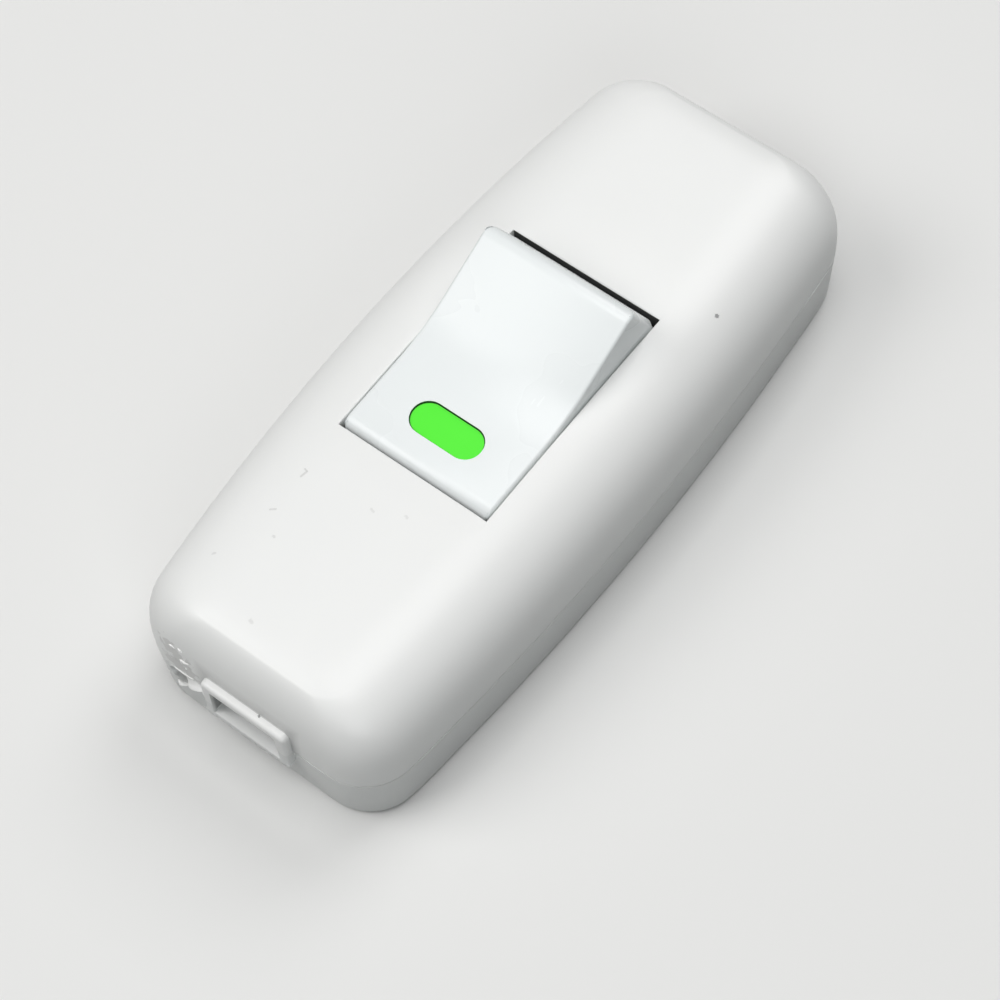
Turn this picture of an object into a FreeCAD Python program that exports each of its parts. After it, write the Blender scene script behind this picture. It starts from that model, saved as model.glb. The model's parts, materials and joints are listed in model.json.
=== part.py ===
import FreeCAD, Part
import Sketcher
import math
import os

from FreeCAD import Placement, Rotation, Vector

# Inline cord switch: a two-part barrel-sided casing with a rocker in its top.
# Millimetres. The casing lies along X, its underside is z = 0, and the origin is the
# middle of that underside. The rocker is drawn level and stands tilted, with the end
# that carries the green window pressed flush.

SIZES = {
    # casing, outside
    "case_length": 80.0,
    "case_width": 34.45,
    "case_end_width": 29.66,
    "case_height": 18.85,
    "case_corner": 5.86,
    "least_corner": 2.6,
    "seam_height": 7.5,
    "crown_drop": 1.47,
    "shoulder_height": 8.35,
    "shoulder_side": 9.6,
    "shoulder_end": 4.35,
    "shoulder_power": 2.37,
    "base_draw_in": 0.42,
    "base_edge_radius": 0.8,
    # casing, walls
    "floor_thickness": 2.0,
    "base_wall": 2.6,
    "cover_wall": 1.8,
    "roof_thickness": 2.0,
    "tongue_rise": 1.2,
    "tongue_clearance": 0.12,
    # cord inlets
    "inlet_half_width": 4.05,
    "inlet_sill": 5.7,
    "inlet_top": 10.1,
    "frame_side": 1.2,
    "frame_bar": 0.95,
    "frame_projection": 0.85,
    "frame_depth": 3.9,
    "frame_corner": 0.7,
    # rocker opening and bearings
    "opening_half_length": 13.86,
    "opening_half_width": 9.01,
    "rocker_clearance": 0.15,
    "pivot_height": 14.33,
    "pin_radius": 1.25,
    "pin_reach": 1.75,
    "bearing_clearance": 0.05,
    "ear_half_length": 4.0,
    "ear_thickness": 2.0,
    "ear_below_pivot": 2.05,
    # rocker
    "half_swing": 14.0,
    "valley_angle": 12.5,
    "valley_height": 4.95,
    "valley_radius": 17.0,
    "rocker_end_radius": 1.5,
    "rocker_corner": 0.8,
    "rocker_wall": 1.4,
    "rocker_roof": 1.5,
    "skirt_height": 1.16,
    "skirt_depth": 1.2,
    "lug_depth": 2.6,
    "lug_half_length": 3.0,
    "lug_foot_half_length": 5.5,
    # green window
    "window_distance": 7.2,
    "window_length": 8.3,
    "window_width": 3.8,
    "window_corner": 1.85,
    "window_clearance": 0.08,
    "window_recess": 0.25,
    "window_flange": 0.6,
    "window_flange_rim": 0.7,
    # plunger and its spring
    "stem_radius": 2.5,
    "stem_depth": 4.3,
    "bore_radius": 1.55,
    "bore_top": 2.6,
    "plunger_clearance": 0.05,
    "plunger_reach": 6.15,
    "plunger_length": 3.8,
    "plunger_nose_flat": 0.04,
    "spring_wire": 0.4,
    "spring_turns": 6.0,
    "spring_clearance": 0.1,
    # contact bridge and its fulcrum
    "fulcrum_height": 7.0,
    "fulcrum_radius": 0.6,
    "fulcrum_clearance": 0.05,
    "bridge_seat": 0.35,
    "bridge_thickness": 0.8,
    "bridge_half_width": 2.5,
    "bridge_contact_arm": 11.9,
    "bridge_free_arm": 11.2,
    "bridge_tilt": 7.0,
    "contact_distance": 10.3,
    "contact_radius": 1.5,
    "contact_head": 0.9,
    "rivet_radius": 0.8,
    "rivet_upset": 0.35,
    "rivet_seat": 0.3,
    "rivet_pocket_gap": 0.3,
    "contact_chamfer": 0.4,
    # terminals
    "strip_thickness": 0.8,
    "strip_half_width": 1.6,
    "block_share": 0.44,
    "block_length": 6.0,
    "block_half_width": 3.0,
    "block_height": 8.5,
    "wire_hole_radius": 1.2,
    "wire_hole_rise": 5.2,
    "wire_hole_depth": 5.0,
    "load_strip_rise": 1.2,
    "contact_tail": 2.0,
    "neutral_wall_gap": 0.425,
    "neutral_half_length": 9.0,
    "neutral_half_width": 2.3,
    "neutral_height": 7.0,
    "neutral_hole_rise": 4.0,
    "neutral_hole_depth": 5.5,
    "neutral_screw_distance": 6.2,
    # ribs of the base
    "rib_thickness": 1.0,
    "rib_height": 3.0,
    "rib_clearance": 0.1,
    "stop_height": 5.3,
    "stop_distance": 9.6,
    "stop_length": 1.6,
    # cord clamps
    "clamp_gap": 3.45,
    "clamp_half_length": 2.0,
    "clamp_half_width": 9.8,
    "clamp_foot": 7.4,
    "clamp_thickness": 1.9,
    "clamp_arch_half_width": 5.2,
    "clamp_screw_distance": 7.6,
    "cradle_half_width": 4.6,
    "post_radius": 2.2,
    # screws
    "thread_clearance": 0.05,
    "slot_width": 0.6,
    "slot_depth": 0.8,
    "screw_chamfer": 0.4,
    "terminal_screw_radius": 1.3,
    "terminal_head_radius": 2.1,
    "terminal_head": 1.5,
    "terminal_screw_stand": 0.6,
    "terminal_tip_gap": 0.1,
    "clamp_screw_radius": 1.0,
    "clamp_head_radius": 2.0,
    "clamp_head": 1.5,
    "clamp_screw_length": 7.6,
    "housing_screw_radius": 1.3,
    "housing_head_radius": 2.6,
    "housing_head": 1.7,
    "housing_screw_length": 10.6,
    "housing_screw_gap": 1.9,
    "housing_screw_side": 6.825,
    "housing_sink": 2.3,
    "housing_hole_clearance": 0.3,
    "base_boss_radius": 3.9,
    "cover_boss_radius": 2.6,
    "cover_boss_gap": 0.3,
    "pilot_extra": 0.5,
    # broken place in the base's rim
    "chip_y": 9.0,
    "chip_below_seam": 1.5,
    "chip_half_width": 1.5,
    "chip_half_height": 1.6,
    "chip_depth": 1.05,
}

SIDE_STEPS = 6
CORNER_STEPS = 7
END_STEPS = 3
SHOULDER_STEPS = 10
PLATEAU_SHARES = (0.82, 0.62, 0.44)
CAP_SHARE = 0.24
# How much the plan's corners tighten for each millimetre that the outline moves in
CORNER_SHARE = 0.3
# How deep the fittings are rooted in the wall that they stand on
ROOT = 0.5
# How far a cut runs past the surface that it opens, and the reach of one that has no end
PAST = 1.0
BEYOND = 60.0
# Lengths closer than this are the same
NEAR = 0.01

doc = FreeCAD.newDocument("inline_cord_switch")
sheet = doc.addObject("Spreadsheet::Sheet", "Size")
for row, (alias, number) in enumerate(SIZES.items(), 1):
    sheet.set(f"A{row}", alias.replace("_", " "))
    sheet.set(f"B{row}", str(number))
    sheet.setAlias(f"B{row}", alias)
doc.recompute()


def size(alias):
    """A driving dimension, read from the sheet."""
    return float(getattr(sheet, alias))


def worth(expression):
    """The number that an expression over the sheet gives."""
    result = sheet.evalExpression(expression)
    return float(getattr(result, "Value", result))


# Parametric building blocks


def new_body(label):
    body = doc.addObject("PartDesign::Body", label)
    body.Label = label
    return body


def origin_plane(body, role):
    return next(plane for plane in body.Origin.OriginFeatures if plane.Role == role)


def new_sketch(body, role, name, offset=None):
    """A sketch on one of the body's own origin planes, raised by an expression."""
    sketch = body.newObject("Sketcher::SketchObject", f"{body.Label}_{name}")
    sketch.AttachmentSupport = [(origin_plane(body, role), "")]
    sketch.MapMode = "FlatFace"
    if offset:
        sketch.AttachmentOffset = Placement(Vector(0, 0, worth(offset)), Rotation())
        sketch.setExpression("AttachmentOffset.Base.z", offset)
    return sketch


def pin_point(sketch, geometry, end, place):
    """Ties one end of a curve to a pair of expressions, measured from the sketch's origin."""
    for kind, expression in zip(("DistanceX", "DistanceY"), place):
        distance = Sketcher.Constraint(kind, -1, 1, geometry, end, worth(expression))
        constraint = sketch.addConstraint(distance)
        sketch.setExpression(f"Constraints[{constraint}]", expression)


def draw_polygon(sketch, corners):
    """A closed outline whose corners are pairs of expressions."""
    points = [Vector(worth(x), worth(y), 0) for x, y in corners]
    count = len(points)
    first = sketch.GeometryCount
    for index in range(count):
        sketch.addGeometry(Part.LineSegment(points[index], points[(index + 1) % count]), False)
    for index in range(count):
        following = first + (index + 1) % count
        sketch.addConstraint(Sketcher.Constraint("Coincident", first + index, 2, following, 1))
        pin_point(sketch, first + index, 1, corners[index])


def draw_circle(sketch, x, y, radius):
    """A circle with its centre and radius tied to expressions."""
    outline = Part.Circle(Vector(worth(x), worth(y), 0), Vector(0, 0, 1), worth(radius))
    circle = sketch.addGeometry(outline, False)
    pin_point(sketch, circle, 3, (x, y))
    constraint = sketch.addConstraint(Sketcher.Constraint("Radius", circle, worth(radius)))
    sketch.setExpression(f"Constraints[{constraint}]", radius)


def draw_rectangle(sketch, low_x, low_y, high_x, high_y):
    draw_polygon(sketch, [(low_x, low_y), (high_x, low_y), (high_x, high_y), (low_x, high_y)])


def draw_rounded_rectangle(sketch, half_x, half_y, radius):
    """A rectangle about the sketch's origin with rounded corners."""
    inner_x, inner_y = f"({half_x} - {radius})", f"({half_y} - {radius})"
    sides = [
        ((f"-{inner_x}", f"-({half_y})"), (inner_x, f"-({half_y})")),
        ((half_x, f"-{inner_y}"), (half_x, inner_y)),
        ((inner_x, half_y), (f"-{inner_x}", half_y)),
        ((f"-({half_x})", inner_y), (f"-({half_x})", f"-{inner_y}")),
    ]
    lines = []
    for start, end in sides:
        line = Part.LineSegment(*(Vector(worth(x), worth(y), 0) for x, y in (start, end)))
        lines.append(sketch.addGeometry(line, False))
        pin_point(sketch, lines[-1], 1, start)
        pin_point(sketch, lines[-1], 2, end)
    for quarter, (sign_x, sign_y) in enumerate(((1, -1), (1, 1), (-1, 1), (-1, -1))):
        centre = Vector(sign_x * worth(inner_x), sign_y * worth(inner_y), 0)
        start = (quarter - 1) * math.pi / 2
        circle = Part.Circle(centre, Vector(0, 0, 1), worth(radius))
        arc = sketch.addGeometry(Part.ArcOfCircle(circle, start, start + math.pi / 2), False)
        sketch.addConstraint(Sketcher.Constraint("Coincident", arc, 1, lines[quarter], 2))
        sketch.addConstraint(Sketcher.Constraint("Coincident", arc, 2, lines[(quarter + 1) % 4], 1))
        constraint = sketch.addConstraint(Sketcher.Constraint("Radius", arc, worth(radius)))
        sketch.setExpression(f"Constraints[{constraint}]", radius)


def extrude(body, sketch, length, cut=False, middle=False, backwards=False, lean=None):
    """A pad or a pocket of the sketch; a pocket has to take material away.

    A lean is an angle expression by which the way of the cut tips over towards +X.
    """
    before = body.Shape.Volume if cut else 0.0
    kind = "PartDesign::Pocket" if cut else "PartDesign::Pad"
    feature = body.newObject(kind, f"{sketch.Name}_{'cut' if cut else 'pad'}")
    feature.Profile = (sketch, [""])
    feature.Length = worth(length)
    feature.setExpression("Length", length)
    feature.SideType = "Symmetric" if middle else "One side"
    feature.Reversed = backwards
    if lean:
        tip = math.radians(worth(lean))
        feature.UseCustomVector = True
        feature.Direction = Vector(math.sin(tip), 0, math.cos(tip))
        feature.setExpression("Direction.x", f"sin({lean})")
        feature.setExpression("Direction.z", f"cos({lean})")
    doc.recompute()
    if cut and body.Shape.Volume >= before:
        raise RuntimeError(f"{feature.Name} cuts nothing")
    return feature


def revolve(body, sketch):
    """A full turn of the sketch about its own vertical axis."""
    feature = body.newObject("PartDesign::Revolution", f"{sketch.Name}_turn")
    feature.Profile = (sketch, [""])
    feature.ReferenceAxis = (sketch, ["V_Axis"])
    feature.Angle = 360.0
    doc.recompute()
    return feature


def round_edges(body, name, radius, wanted):
    """A fillet on the edges of the body's tip that the test picks."""
    tip = body.Tip
    edges = [f"Edge{number}" for number, edge in enumerate(tip.Shape.Edges, 1) if wanted(edge)]
    feature = body.newObject("PartDesign::Fillet", f"{body.Label}_{name}")
    feature.Base = (tip, edges)
    feature.Radius = worth(radius)
    feature.setExpression("Radius", radius)
    doc.recompute()
    return feature


def set_place(item, x="0", y="0", z="0", tilt=None):
    """Places an object by expressions, turned about +Y by an angle that is one too."""
    turn = Rotation(Vector(0, 1, 0), worth(tilt or "0"))
    item.Placement = Placement(Vector(worth(x), worth(y), worth(z)), turn)
    for axis, expression in (("x", x), ("y", y), ("z", z)):
        item.setExpression(f"Placement.Base.{axis}", expression)
    if tilt:
        item.setExpression("Placement.Rotation.Angle", tilt)


# The cord runs straight in: the clamps leave it the inlets' height. They stand a gap inside the
# inlet frames, the housing screws stand a gap inside the clamps, and each pillar takes its share
# of the room that is left between the bridge and the clamp.
CLAMP_TOP = "(Size.inlet_top + Size.clamp_thickness)"
FRAME_INSIDE = "(Size.case_length / 2 + Size.frame_projection - Size.frame_depth)"
CLAMP_DISTANCE = f"({FRAME_INSIDE} - Size.clamp_gap - Size.clamp_half_length)"
CLAMP_INSIDE = f"({CLAMP_DISTANCE} - Size.clamp_half_length)"
HOUSING_SCREW_X = f"({CLAMP_INSIDE} - Size.housing_screw_gap - Size.cover_boss_radius)"
HOUSING_SCREW_Y = "(Size.case_width / 2 - Size.housing_screw_side)"
PILLAR_ROOM = f"({CLAMP_INSIDE} - Size.block_length - Size.bridge_contact_arm)"
BLOCK_NEAR = f"(Size.bridge_contact_arm + Size.block_share * {PILLAR_ROOM})"
BLOCK_FAR = f"({BLOCK_NEAR} + Size.block_length)"
BLOCK_MIDDLE = f"({BLOCK_NEAR} + Size.block_length / 2)"
NEUTRAL_Y = "(Size.case_width / 2 - Size.base_wall - Size.neutral_wall_gap - Size.neutral_half_width)"


# Casing form


def shoulder_point(share):
    """How far the shoulder has turned in and dropped, as shares, at a share of its quarter turn."""
    angle = share * math.pi / 2
    power = 2 / size("shoulder_power")
    return 1 - math.cos(angle) ** power if share < 1 else 1.0, 1 - math.sin(angle) ** power


def plan_quarter(side_inset, end_inset):
    """Points of a quarter of the plan outline, from the middle of a side to the middle of an end."""
    half_length = size("case_length") / 2 - end_inset
    barrel = (size("case_width") - size("case_end_width")) / 2
    radius = max(size("case_corner") - CORNER_SHARE * (side_inset + end_inset), size("least_corner"))

    def half_width(x):
        return size("case_width") / 2 - barrel * (2 * x / size("case_length")) ** 2 - side_inset

    centre_x = half_length - radius
    lean = math.atan(8 * barrel * centre_x / size("case_length") ** 2)
    join_x = centre_x + radius * math.sin(lean)
    centre_y = half_width(join_x) - radius * math.cos(lean)
    points = []
    for step in range(SIDE_STEPS):
        x = join_x * step / SIDE_STEPS
        points.append((x, half_width(x)))
    for step in range(CORNER_STEPS + 1):
        angle = lean + (math.pi / 2 - lean) * step / CORNER_STEPS
        points.append((centre_x + radius * math.sin(angle), centre_y + radius * math.cos(angle)))
    for step in range(1, END_STEPS + 1):
        points.append((half_length, centre_y * (1 - step / END_STEPS)))
    return points


def plan_ring(side_inset, end_inset, height, crowned=False, share=1.0):
    """A closed smooth ring of the plan outline, level or following the crown of the top."""
    quarter = [(x * share, y * share) for x, y in plan_quarter(side_inset, end_inset)]
    outline = quarter + [(x, -y) for x, y in quarter[-2::-1]]
    outline += [(-x, -y) for x, y in quarter[1:]] + [(-x, y) for x, y in quarter[-2:0:-1]]
    drop = size("crown_drop") if crowned else 0.0
    points = [Vector(x, y, height - drop * (2 * x / size("case_length")) ** 2) for x, y in outline]
    curve = Part.BSplineCurve()
    curve.interpolate(Points=points, PeriodicFlag=True)
    return Part.Wire([curve.toShape()])


def plan_prism(inset, low, high):
    """An upright block with the plan outline."""
    return Part.Face(plan_ring(inset, inset, low)).extrude(Vector(0, 0, high - low))


def dome(wall, roof, low):
    """The cover's form inside a wall and a roof of the given thickness, above a level."""
    top = size("case_height") - roof
    rings = [plan_ring(wall, wall, low)]
    for step in range(SHOULDER_STEPS + 1):
        inward, drop = shoulder_point(step / SHOULDER_STEPS)
        side = wall + size("shoulder_side") * inward
        end = wall + size("shoulder_end") * inward
        rings.append(plan_ring(side, end, top - size("shoulder_height") * drop, crowned=True))
    plateau = [rings[-1]]
    for share in PLATEAU_SHARES:
        plateau.append(plan_ring(side, end, top, crowned=True, share=share))
    plateau.append(plan_ring(side, end, top, share=CAP_SHARE))
    walls = Part.makeLoft(rings, False, False)
    roof_bands = Part.makeLoft(plateau, False, True)
    caps = [Part.Face(rings[0]), Part.Face(plateau[-1])]
    return Part.Solid(Part.Shell(walls.Faces + roof_bands.Faces + caps))


def block(low_x, high_x, low_y, high_y, low_z, high_z):
    return Part.makeBox(high_x - low_x, high_y - low_y, high_z - low_z, Vector(low_x, low_y, low_z))


def slab(low_z, high_z):
    """Everything between two levels."""
    return block(-BEYOND, BEYOND, -BEYOND, BEYOND, low_z, high_z)


def rod(radius, x, y, low, high):
    return Part.makeCylinder(radius, high - low, Vector(x, y, low))


def inlet_frame(end):
    """The raised frame around a cord inlet, a block whose corners are rounded."""
    outer = size("case_length") / 2 + size("frame_projection")
    half = size("inlet_half_width") + size("frame_side")
    low, high = size("inlet_sill") - size("frame_bar"), size("inlet_top") + size("frame_bar")
    frame = block(outer - size("frame_depth"), outer, -half, half, low, high)
    corners = [edge for edge in frame.Edges if abs(edge.tangentAt(edge.FirstParameter).x) > 0.99]
    frame = frame.makeFillet(size("frame_corner"), corners)
    if end < 0:
        frame.rotate(Vector(0, 0, 0), Vector(0, 0, 1), 180)
    return frame


def inlet_hole(end):
    """The way for the cord through an end wall and its frame."""
    near = size("case_length") / 2 - size("frame_depth") - PAST
    far = size("case_length") / 2 + size("frame_projection") + PAST
    low, high = sorted((end * near, end * far))
    half = size("inlet_half_width")
    return block(low, high, -half, half, size("inlet_sill"), size("inlet_top"))


def housing_screw_places():
    """The two housing screws stand in opposite corners."""
    return [(sign * worth(HOUSING_SCREW_X), -sign * worth(HOUSING_SCREW_Y)) for sign in (1, -1)]


def both_ends(maker):
    return [maker(end) for end in (-1, 1)]


def rim_chip():
    """The piece broken out of the base's rim beside the inlet, a flat lens."""
    lens = Part.makeSphere(1.0)
    scale = FreeCAD.Matrix()
    scale.scale(size("chip_depth"), size("chip_half_width"), size("chip_half_height"))
    lens = lens.transformGeometry(scale)
    height = size("seam_height") - size("chip_below_seam")
    lens.translate(Vector(-size("case_length") / 2, size("chip_y"), height))
    return lens


def base_shell():
    """The tray with its rim tongue and the lower halves of the inlet frames."""
    seam, draw_in = size("seam_height"), size("base_draw_in")
    shell = Part.makeLoft([plan_ring(draw_in, draw_in, 0.0), plan_ring(0.0, 0.0, seam)], True, True)
    foot = [edge for edge in shell.Edges if edge.BoundBox.ZMax < size("base_edge_radius") / 2]
    shell = shell.makeFillet(size("base_edge_radius"), foot)
    tongue_top = seam + size("tongue_rise")
    tongue = plan_prism(size("cover_wall") + size("tongue_clearance"), seam - PAST, tongue_top)
    gap_half = size("inlet_half_width") + size("frame_side") + size("tongue_clearance")
    inside = size("case_length") / 2 - size("frame_depth") - PAST
    for end in (-1, 1):
        low, high = sorted((end * inside, end * size("case_length") / 2))
        tongue = tongue.cut(block(low, high, -gap_half, gap_half, seam, tongue_top + PAST))
    frames = [frame.common(slab(0.0, seam)) for frame in both_ends(inlet_frame)]
    cavity = plan_prism(size("base_wall"), size("floor_thickness"), tongue_top + PAST)
    return shell.fuse([tongue] + frames).cut([cavity] + both_ends(inlet_hole))


def beside(side, inner, thickness):
    """The two y limits of a wall that starts at a distance from the middle plane."""
    return sorted((side * inner, side * (inner + thickness)))


def base_fittings():
    """Bosses, ribs, clamp posts and cradles that stand on the base's floor."""
    floor, seam = size("floor_thickness"), size("seam_height")
    root = floor - ROOT
    rib, gap = size("rib_thickness"), size("rib_clearance")
    rib_top = floor + size("rib_height")
    fittings = [rod(size("base_boss_radius"), x, y, root, seam) for x, y in housing_screw_places()]
    near, far = worth(BLOCK_NEAR), worth(BLOCK_FAR)
    cradle_half = size("cradle_half_width")
    for end in (-1, 1):
        x_low, x_high = sorted((end * near, end * far))
        middle = end * worth(CLAMP_DISTANCE)
        for side in (-1, 1):
            y_low, y_high = beside(side, size("block_half_width") + gap, rib)
            fittings.append(block(x_low, x_high, y_low, y_high, root, rib_top))
            fittings.append(rod(size("post_radius"), middle, side * size("clamp_screw_distance"),
                                root, size("clamp_foot")))
        fittings.append(block(middle - size("clamp_half_length"), middle + size("clamp_half_length"),
                              -cradle_half, cradle_half, root, size("inlet_sill")))
    neutral_edge = worth(NEUTRAL_Y) - size("neutral_half_width") - gap
    fittings.append(block(-size("neutral_half_length"), size("neutral_half_length"),
                          neutral_edge - rib, neutral_edge, root, rib_top))
    for side in (-1, 1):
        y_low, y_high = beside(side, size("strip_half_width") + gap, rib)
        fittings.append(block(-size("stop_distance") - size("stop_length"), -size("stop_distance"),
                              y_low, y_high, root, size("stop_height")))
    fittings.append(block(size("contact_distance") - size("contact_tail"), near,
                          -size("strip_half_width"), size("strip_half_width"),
                          root, floor + size("load_strip_rise")))
    return fittings


def base_holes():
    """Screw holes, pilot holes and the pocket under the fixed contact's rivet."""
    holes = []
    shank = size("housing_screw_radius") + size("housing_hole_clearance")
    head = size("housing_head_radius") + size("housing_hole_clearance")
    for x, y in housing_screw_places():
        holes.append(rod(shank, x, y, -PAST, size("seam_height") + PAST))
        holes.append(rod(head, x, y, -PAST, size("housing_sink")))
    pilot = size("clamp_screw_radius") + size("thread_clearance")
    pilot_low = worth(CLAMP_TOP) - size("clamp_screw_length") - size("pilot_extra")
    for end in (-1, 1):
        for side in (-1, 1):
            holes.append(rod(pilot, end * worth(CLAMP_DISTANCE), side * size("clamp_screw_distance"),
                             pilot_low, size("clamp_foot") + PAST))
    strip_low = size("floor_thickness") + size("load_strip_rise")
    pocket = size("rivet_radius") + size("rivet_seat") + size("rivet_pocket_gap")
    pocket_low = strip_low - size("rivet_upset") - size("rivet_pocket_gap")
    holes.append(rod(pocket, size("contact_distance"), 0, pocket_low, strip_low + PAST))
    return holes


def make_lower_base():
    shell = base_shell().fuse(base_fittings())
    return shell.cut([rim_chip()] + base_holes()).removeSplitter()


def make_upper_cover():
    seam = size("seam_height")
    half_width = size("opening_half_width")
    ear_reach = half_width + size("ear_thickness")
    frames = [frame.common(slab(seam, BEYOND)) for frame in both_ends(inlet_frame)]
    kept = list(frames)
    for side in (-1, 1):
        y_low, y_high = sorted((side * (half_width - PAST), side * ear_reach))
        kept.append(block(-size("ear_half_length"), size("ear_half_length"), y_low, y_high,
                          size("pivot_height") - size("ear_below_pivot"), size("case_height")))
    for x, y in housing_screw_places():
        kept.append(rod(size("cover_boss_radius"), x, y,
                        seam + size("cover_boss_gap"), size("case_height")))
    void = dome(size("cover_wall"), size("roof_thickness"), seam - PAST).cut(kept)
    pilot_top = size("housing_sink") + size("housing_screw_length") + size("pilot_extra")
    holes = both_ends(inlet_hole)
    bearing_start = Vector(0, -ear_reach - PAST, size("pivot_height"))
    holes.append(Part.makeCylinder(size("pin_radius") + size("bearing_clearance"), 2 * (ear_reach + PAST),
                                   bearing_start, Vector(0, 1, 0)))
    holes.append(block(-size("opening_half_length"), size("opening_half_length"), -half_width, half_width,
                       size("pivot_height") - size("ear_below_pivot") - PAST, BEYOND))
    thread = size("housing_screw_radius") + size("thread_clearance")
    for x, y in housing_screw_places():
        holes.append(rod(thread, x, y, seam - PAST, pilot_top))
    shell = dome(0.0, 0.0, seam).fuse(frames).cut(void)
    return shell.cut(holes)


def add_computed(label, shape):
    item = doc.addObject("Part::Feature", label)
    item.Label = label
    item.Shape = shape
    return item


# Rocker, drawn level with the pivot at its origin

ROCKER_PLACE = {"z": "Size.pivot_height", "tilt": "-Size.half_swing"}
END_REACH = "(Size.opening_half_length - Size.rocker_clearance)"
HALF_WIDTH = "(Size.opening_half_width - Size.rocker_clearance)"
TOP_X = (f"(({END_REACH} - Size.valley_height * sin(Size.half_swing))"
         " / (cos(Size.half_swing) + tan(Size.valley_angle) * sin(Size.half_swing)))")
TOP_Z = f"(Size.valley_height + {TOP_X} * tan(Size.valley_angle))"
# The end face leans by half the swing, so that it stands upright when its end is down,
# and turns upright itself below the skirt's height.
SKIRT_X = f"(({END_REACH} - Size.skirt_height * sin(Size.half_swing)) / cos(Size.half_swing))"
ROOF_DEPTH = "(Size.rocker_roof / cos(Size.valley_angle))"


def make_rocker():
    body = new_body("rocker")
    profile = new_sketch(body, "XZ_Plane", "profile")
    right = [
        ("Size.lug_half_length", "-Size.lug_depth"),
        ("Size.lug_foot_half_length", "-Size.skirt_depth"),
        (SKIRT_X, "-Size.skirt_depth"),
        (SKIRT_X, "Size.skirt_height"),
        (TOP_X, TOP_Z),
    ]
    left = [(f"-{x}", z) for x, z in reversed(right)]
    draw_polygon(profile, right + [("0", "Size.valley_height")] + left)
    extrude(body, profile, f"2 * {HALF_WIDTH}", middle=True)

    def across_at(edge, height):
        """Whether the edge runs level along Y at a height."""
        box = edge.BoundBox
        return max(box.XLength, box.ZLength, abs(box.ZMax - height)) < NEAR

    top = worth(TOP_Z)
    round_edges(body, "valley", "Size.valley_radius", lambda edge: across_at(edge, size("valley_height")))
    round_edges(body, "ends", "Size.rocker_end_radius", lambda edge: across_at(edge, top))
    leans = {"skirt_corners": None, "right_corners": "-Size.half_swing", "left_corners": "Size.half_swing"}
    for name, lean in leans.items():
        plan = new_sketch(body, "XY_Plane", name, "Size.skirt_height")
        draw_rectangle(plan, f"-{BEYOND}", f"-{BEYOND}", f"{BEYOND}", f"{BEYOND}")
        draw_rounded_rectangle(plan, SKIRT_X, HALF_WIDTH, "Size.rocker_corner")
        extrude(body, plan, f"{BEYOND}", cut=True, lean=lean)

    hollow = new_sketch(body, "XZ_Plane", "hollow")
    wall = "Size.rocker_wall"
    hollow_right = [
        (f"({SKIRT_X} - {wall})", f"-(Size.lug_depth + {PAST})"),
        (f"({SKIRT_X} - {wall})", "Size.skirt_height"),
        (f"({TOP_X} - {wall})", f"({TOP_Z} - {wall} * tan(Size.valley_angle) - {ROOF_DEPTH})"),
    ]
    hollow_left = [(f"-{x}", z) for x, z in reversed(hollow_right)]
    draw_polygon(hollow, hollow_right + [("0", f"(Size.valley_height - {ROOF_DEPTH})")] + hollow_left)
    extrude(body, hollow, f"2 * ({HALF_WIDTH} - {wall})", cut=True, middle=True)

    stem = new_sketch(body, "XY_Plane", "stem", "-Size.stem_depth")
    draw_circle(stem, "0", "0", "Size.stem_radius")
    extrude(body, stem, "Size.stem_depth + Size.valley_height - Size.rocker_roof / 2")
    bore = new_sketch(body, "XY_Plane", "bore", "-Size.stem_depth")
    draw_circle(bore, "0", "0", "Size.bore_radius")
    extrude(body, bore, "Size.stem_depth + Size.bore_top", cut=True, backwards=True)

    for side, name in ((-1, "left_pin"), (1, "right_pin")):
        pin = new_sketch(body, "XZ_Plane", name, f"{side} * ({HALF_WIDTH} - Size.rocker_wall / 2)")
        draw_circle(pin, "0", "0", "Size.pin_radius")
        extrude(body, pin, "Size.rocker_wall / 2 + Size.pin_reach", backwards=side < 0)

    window = new_sketch(body, "XY_Plane", "window")
    window.AttachmentOffset = window_seat()
    draw_rounded_rectangle(window, "Size.window_width / 2", "Size.window_length / 2", "Size.window_corner")
    extrude(body, window, f"2 * (Size.rocker_roof + {PAST})", cut=True, middle=True)
    set_place(body, **ROCKER_PLACE)
    return body


def window_seat():
    """Where the window's middle lies on the rocker's top, in the rocker's own frame."""
    along, slope = size("window_distance"), math.radians(size("valley_angle"))
    point = Vector(-along * math.cos(slope), 0, size("valley_height") + along * math.sin(slope))
    return Placement(point, Rotation(Vector(0, 1, 0), size("valley_angle")))


def make_window():
    body = new_body("indicator_window")
    plug = new_sketch(body, "XY_Plane", "plug", "-Size.rocker_roof")
    gap = "Size.window_clearance"
    draw_rounded_rectangle(plug, f"(Size.window_width / 2 - {gap})", f"(Size.window_length / 2 - {gap})",
                           f"(Size.window_corner - {gap})")
    extrude(body, plug, "Size.rocker_roof - Size.window_recess")
    flange = new_sketch(body, "XY_Plane", "flange", "-(Size.rocker_roof + Size.window_flange)")
    rim = "Size.window_flange_rim"
    draw_rounded_rectangle(flange, f"(Size.window_width / 2 + {rim})", f"(Size.window_length / 2 + {rim})",
                           f"(Size.window_corner + {rim})")
    extrude(body, flange, "Size.window_flange")
    body.Placement = rocker_placement().multiply(window_seat())
    return body


def rocker_placement():
    return Placement(Vector(0, 0, size("pivot_height")), Rotation(Vector(0, 1, 0), -size("half_swing")))


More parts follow.
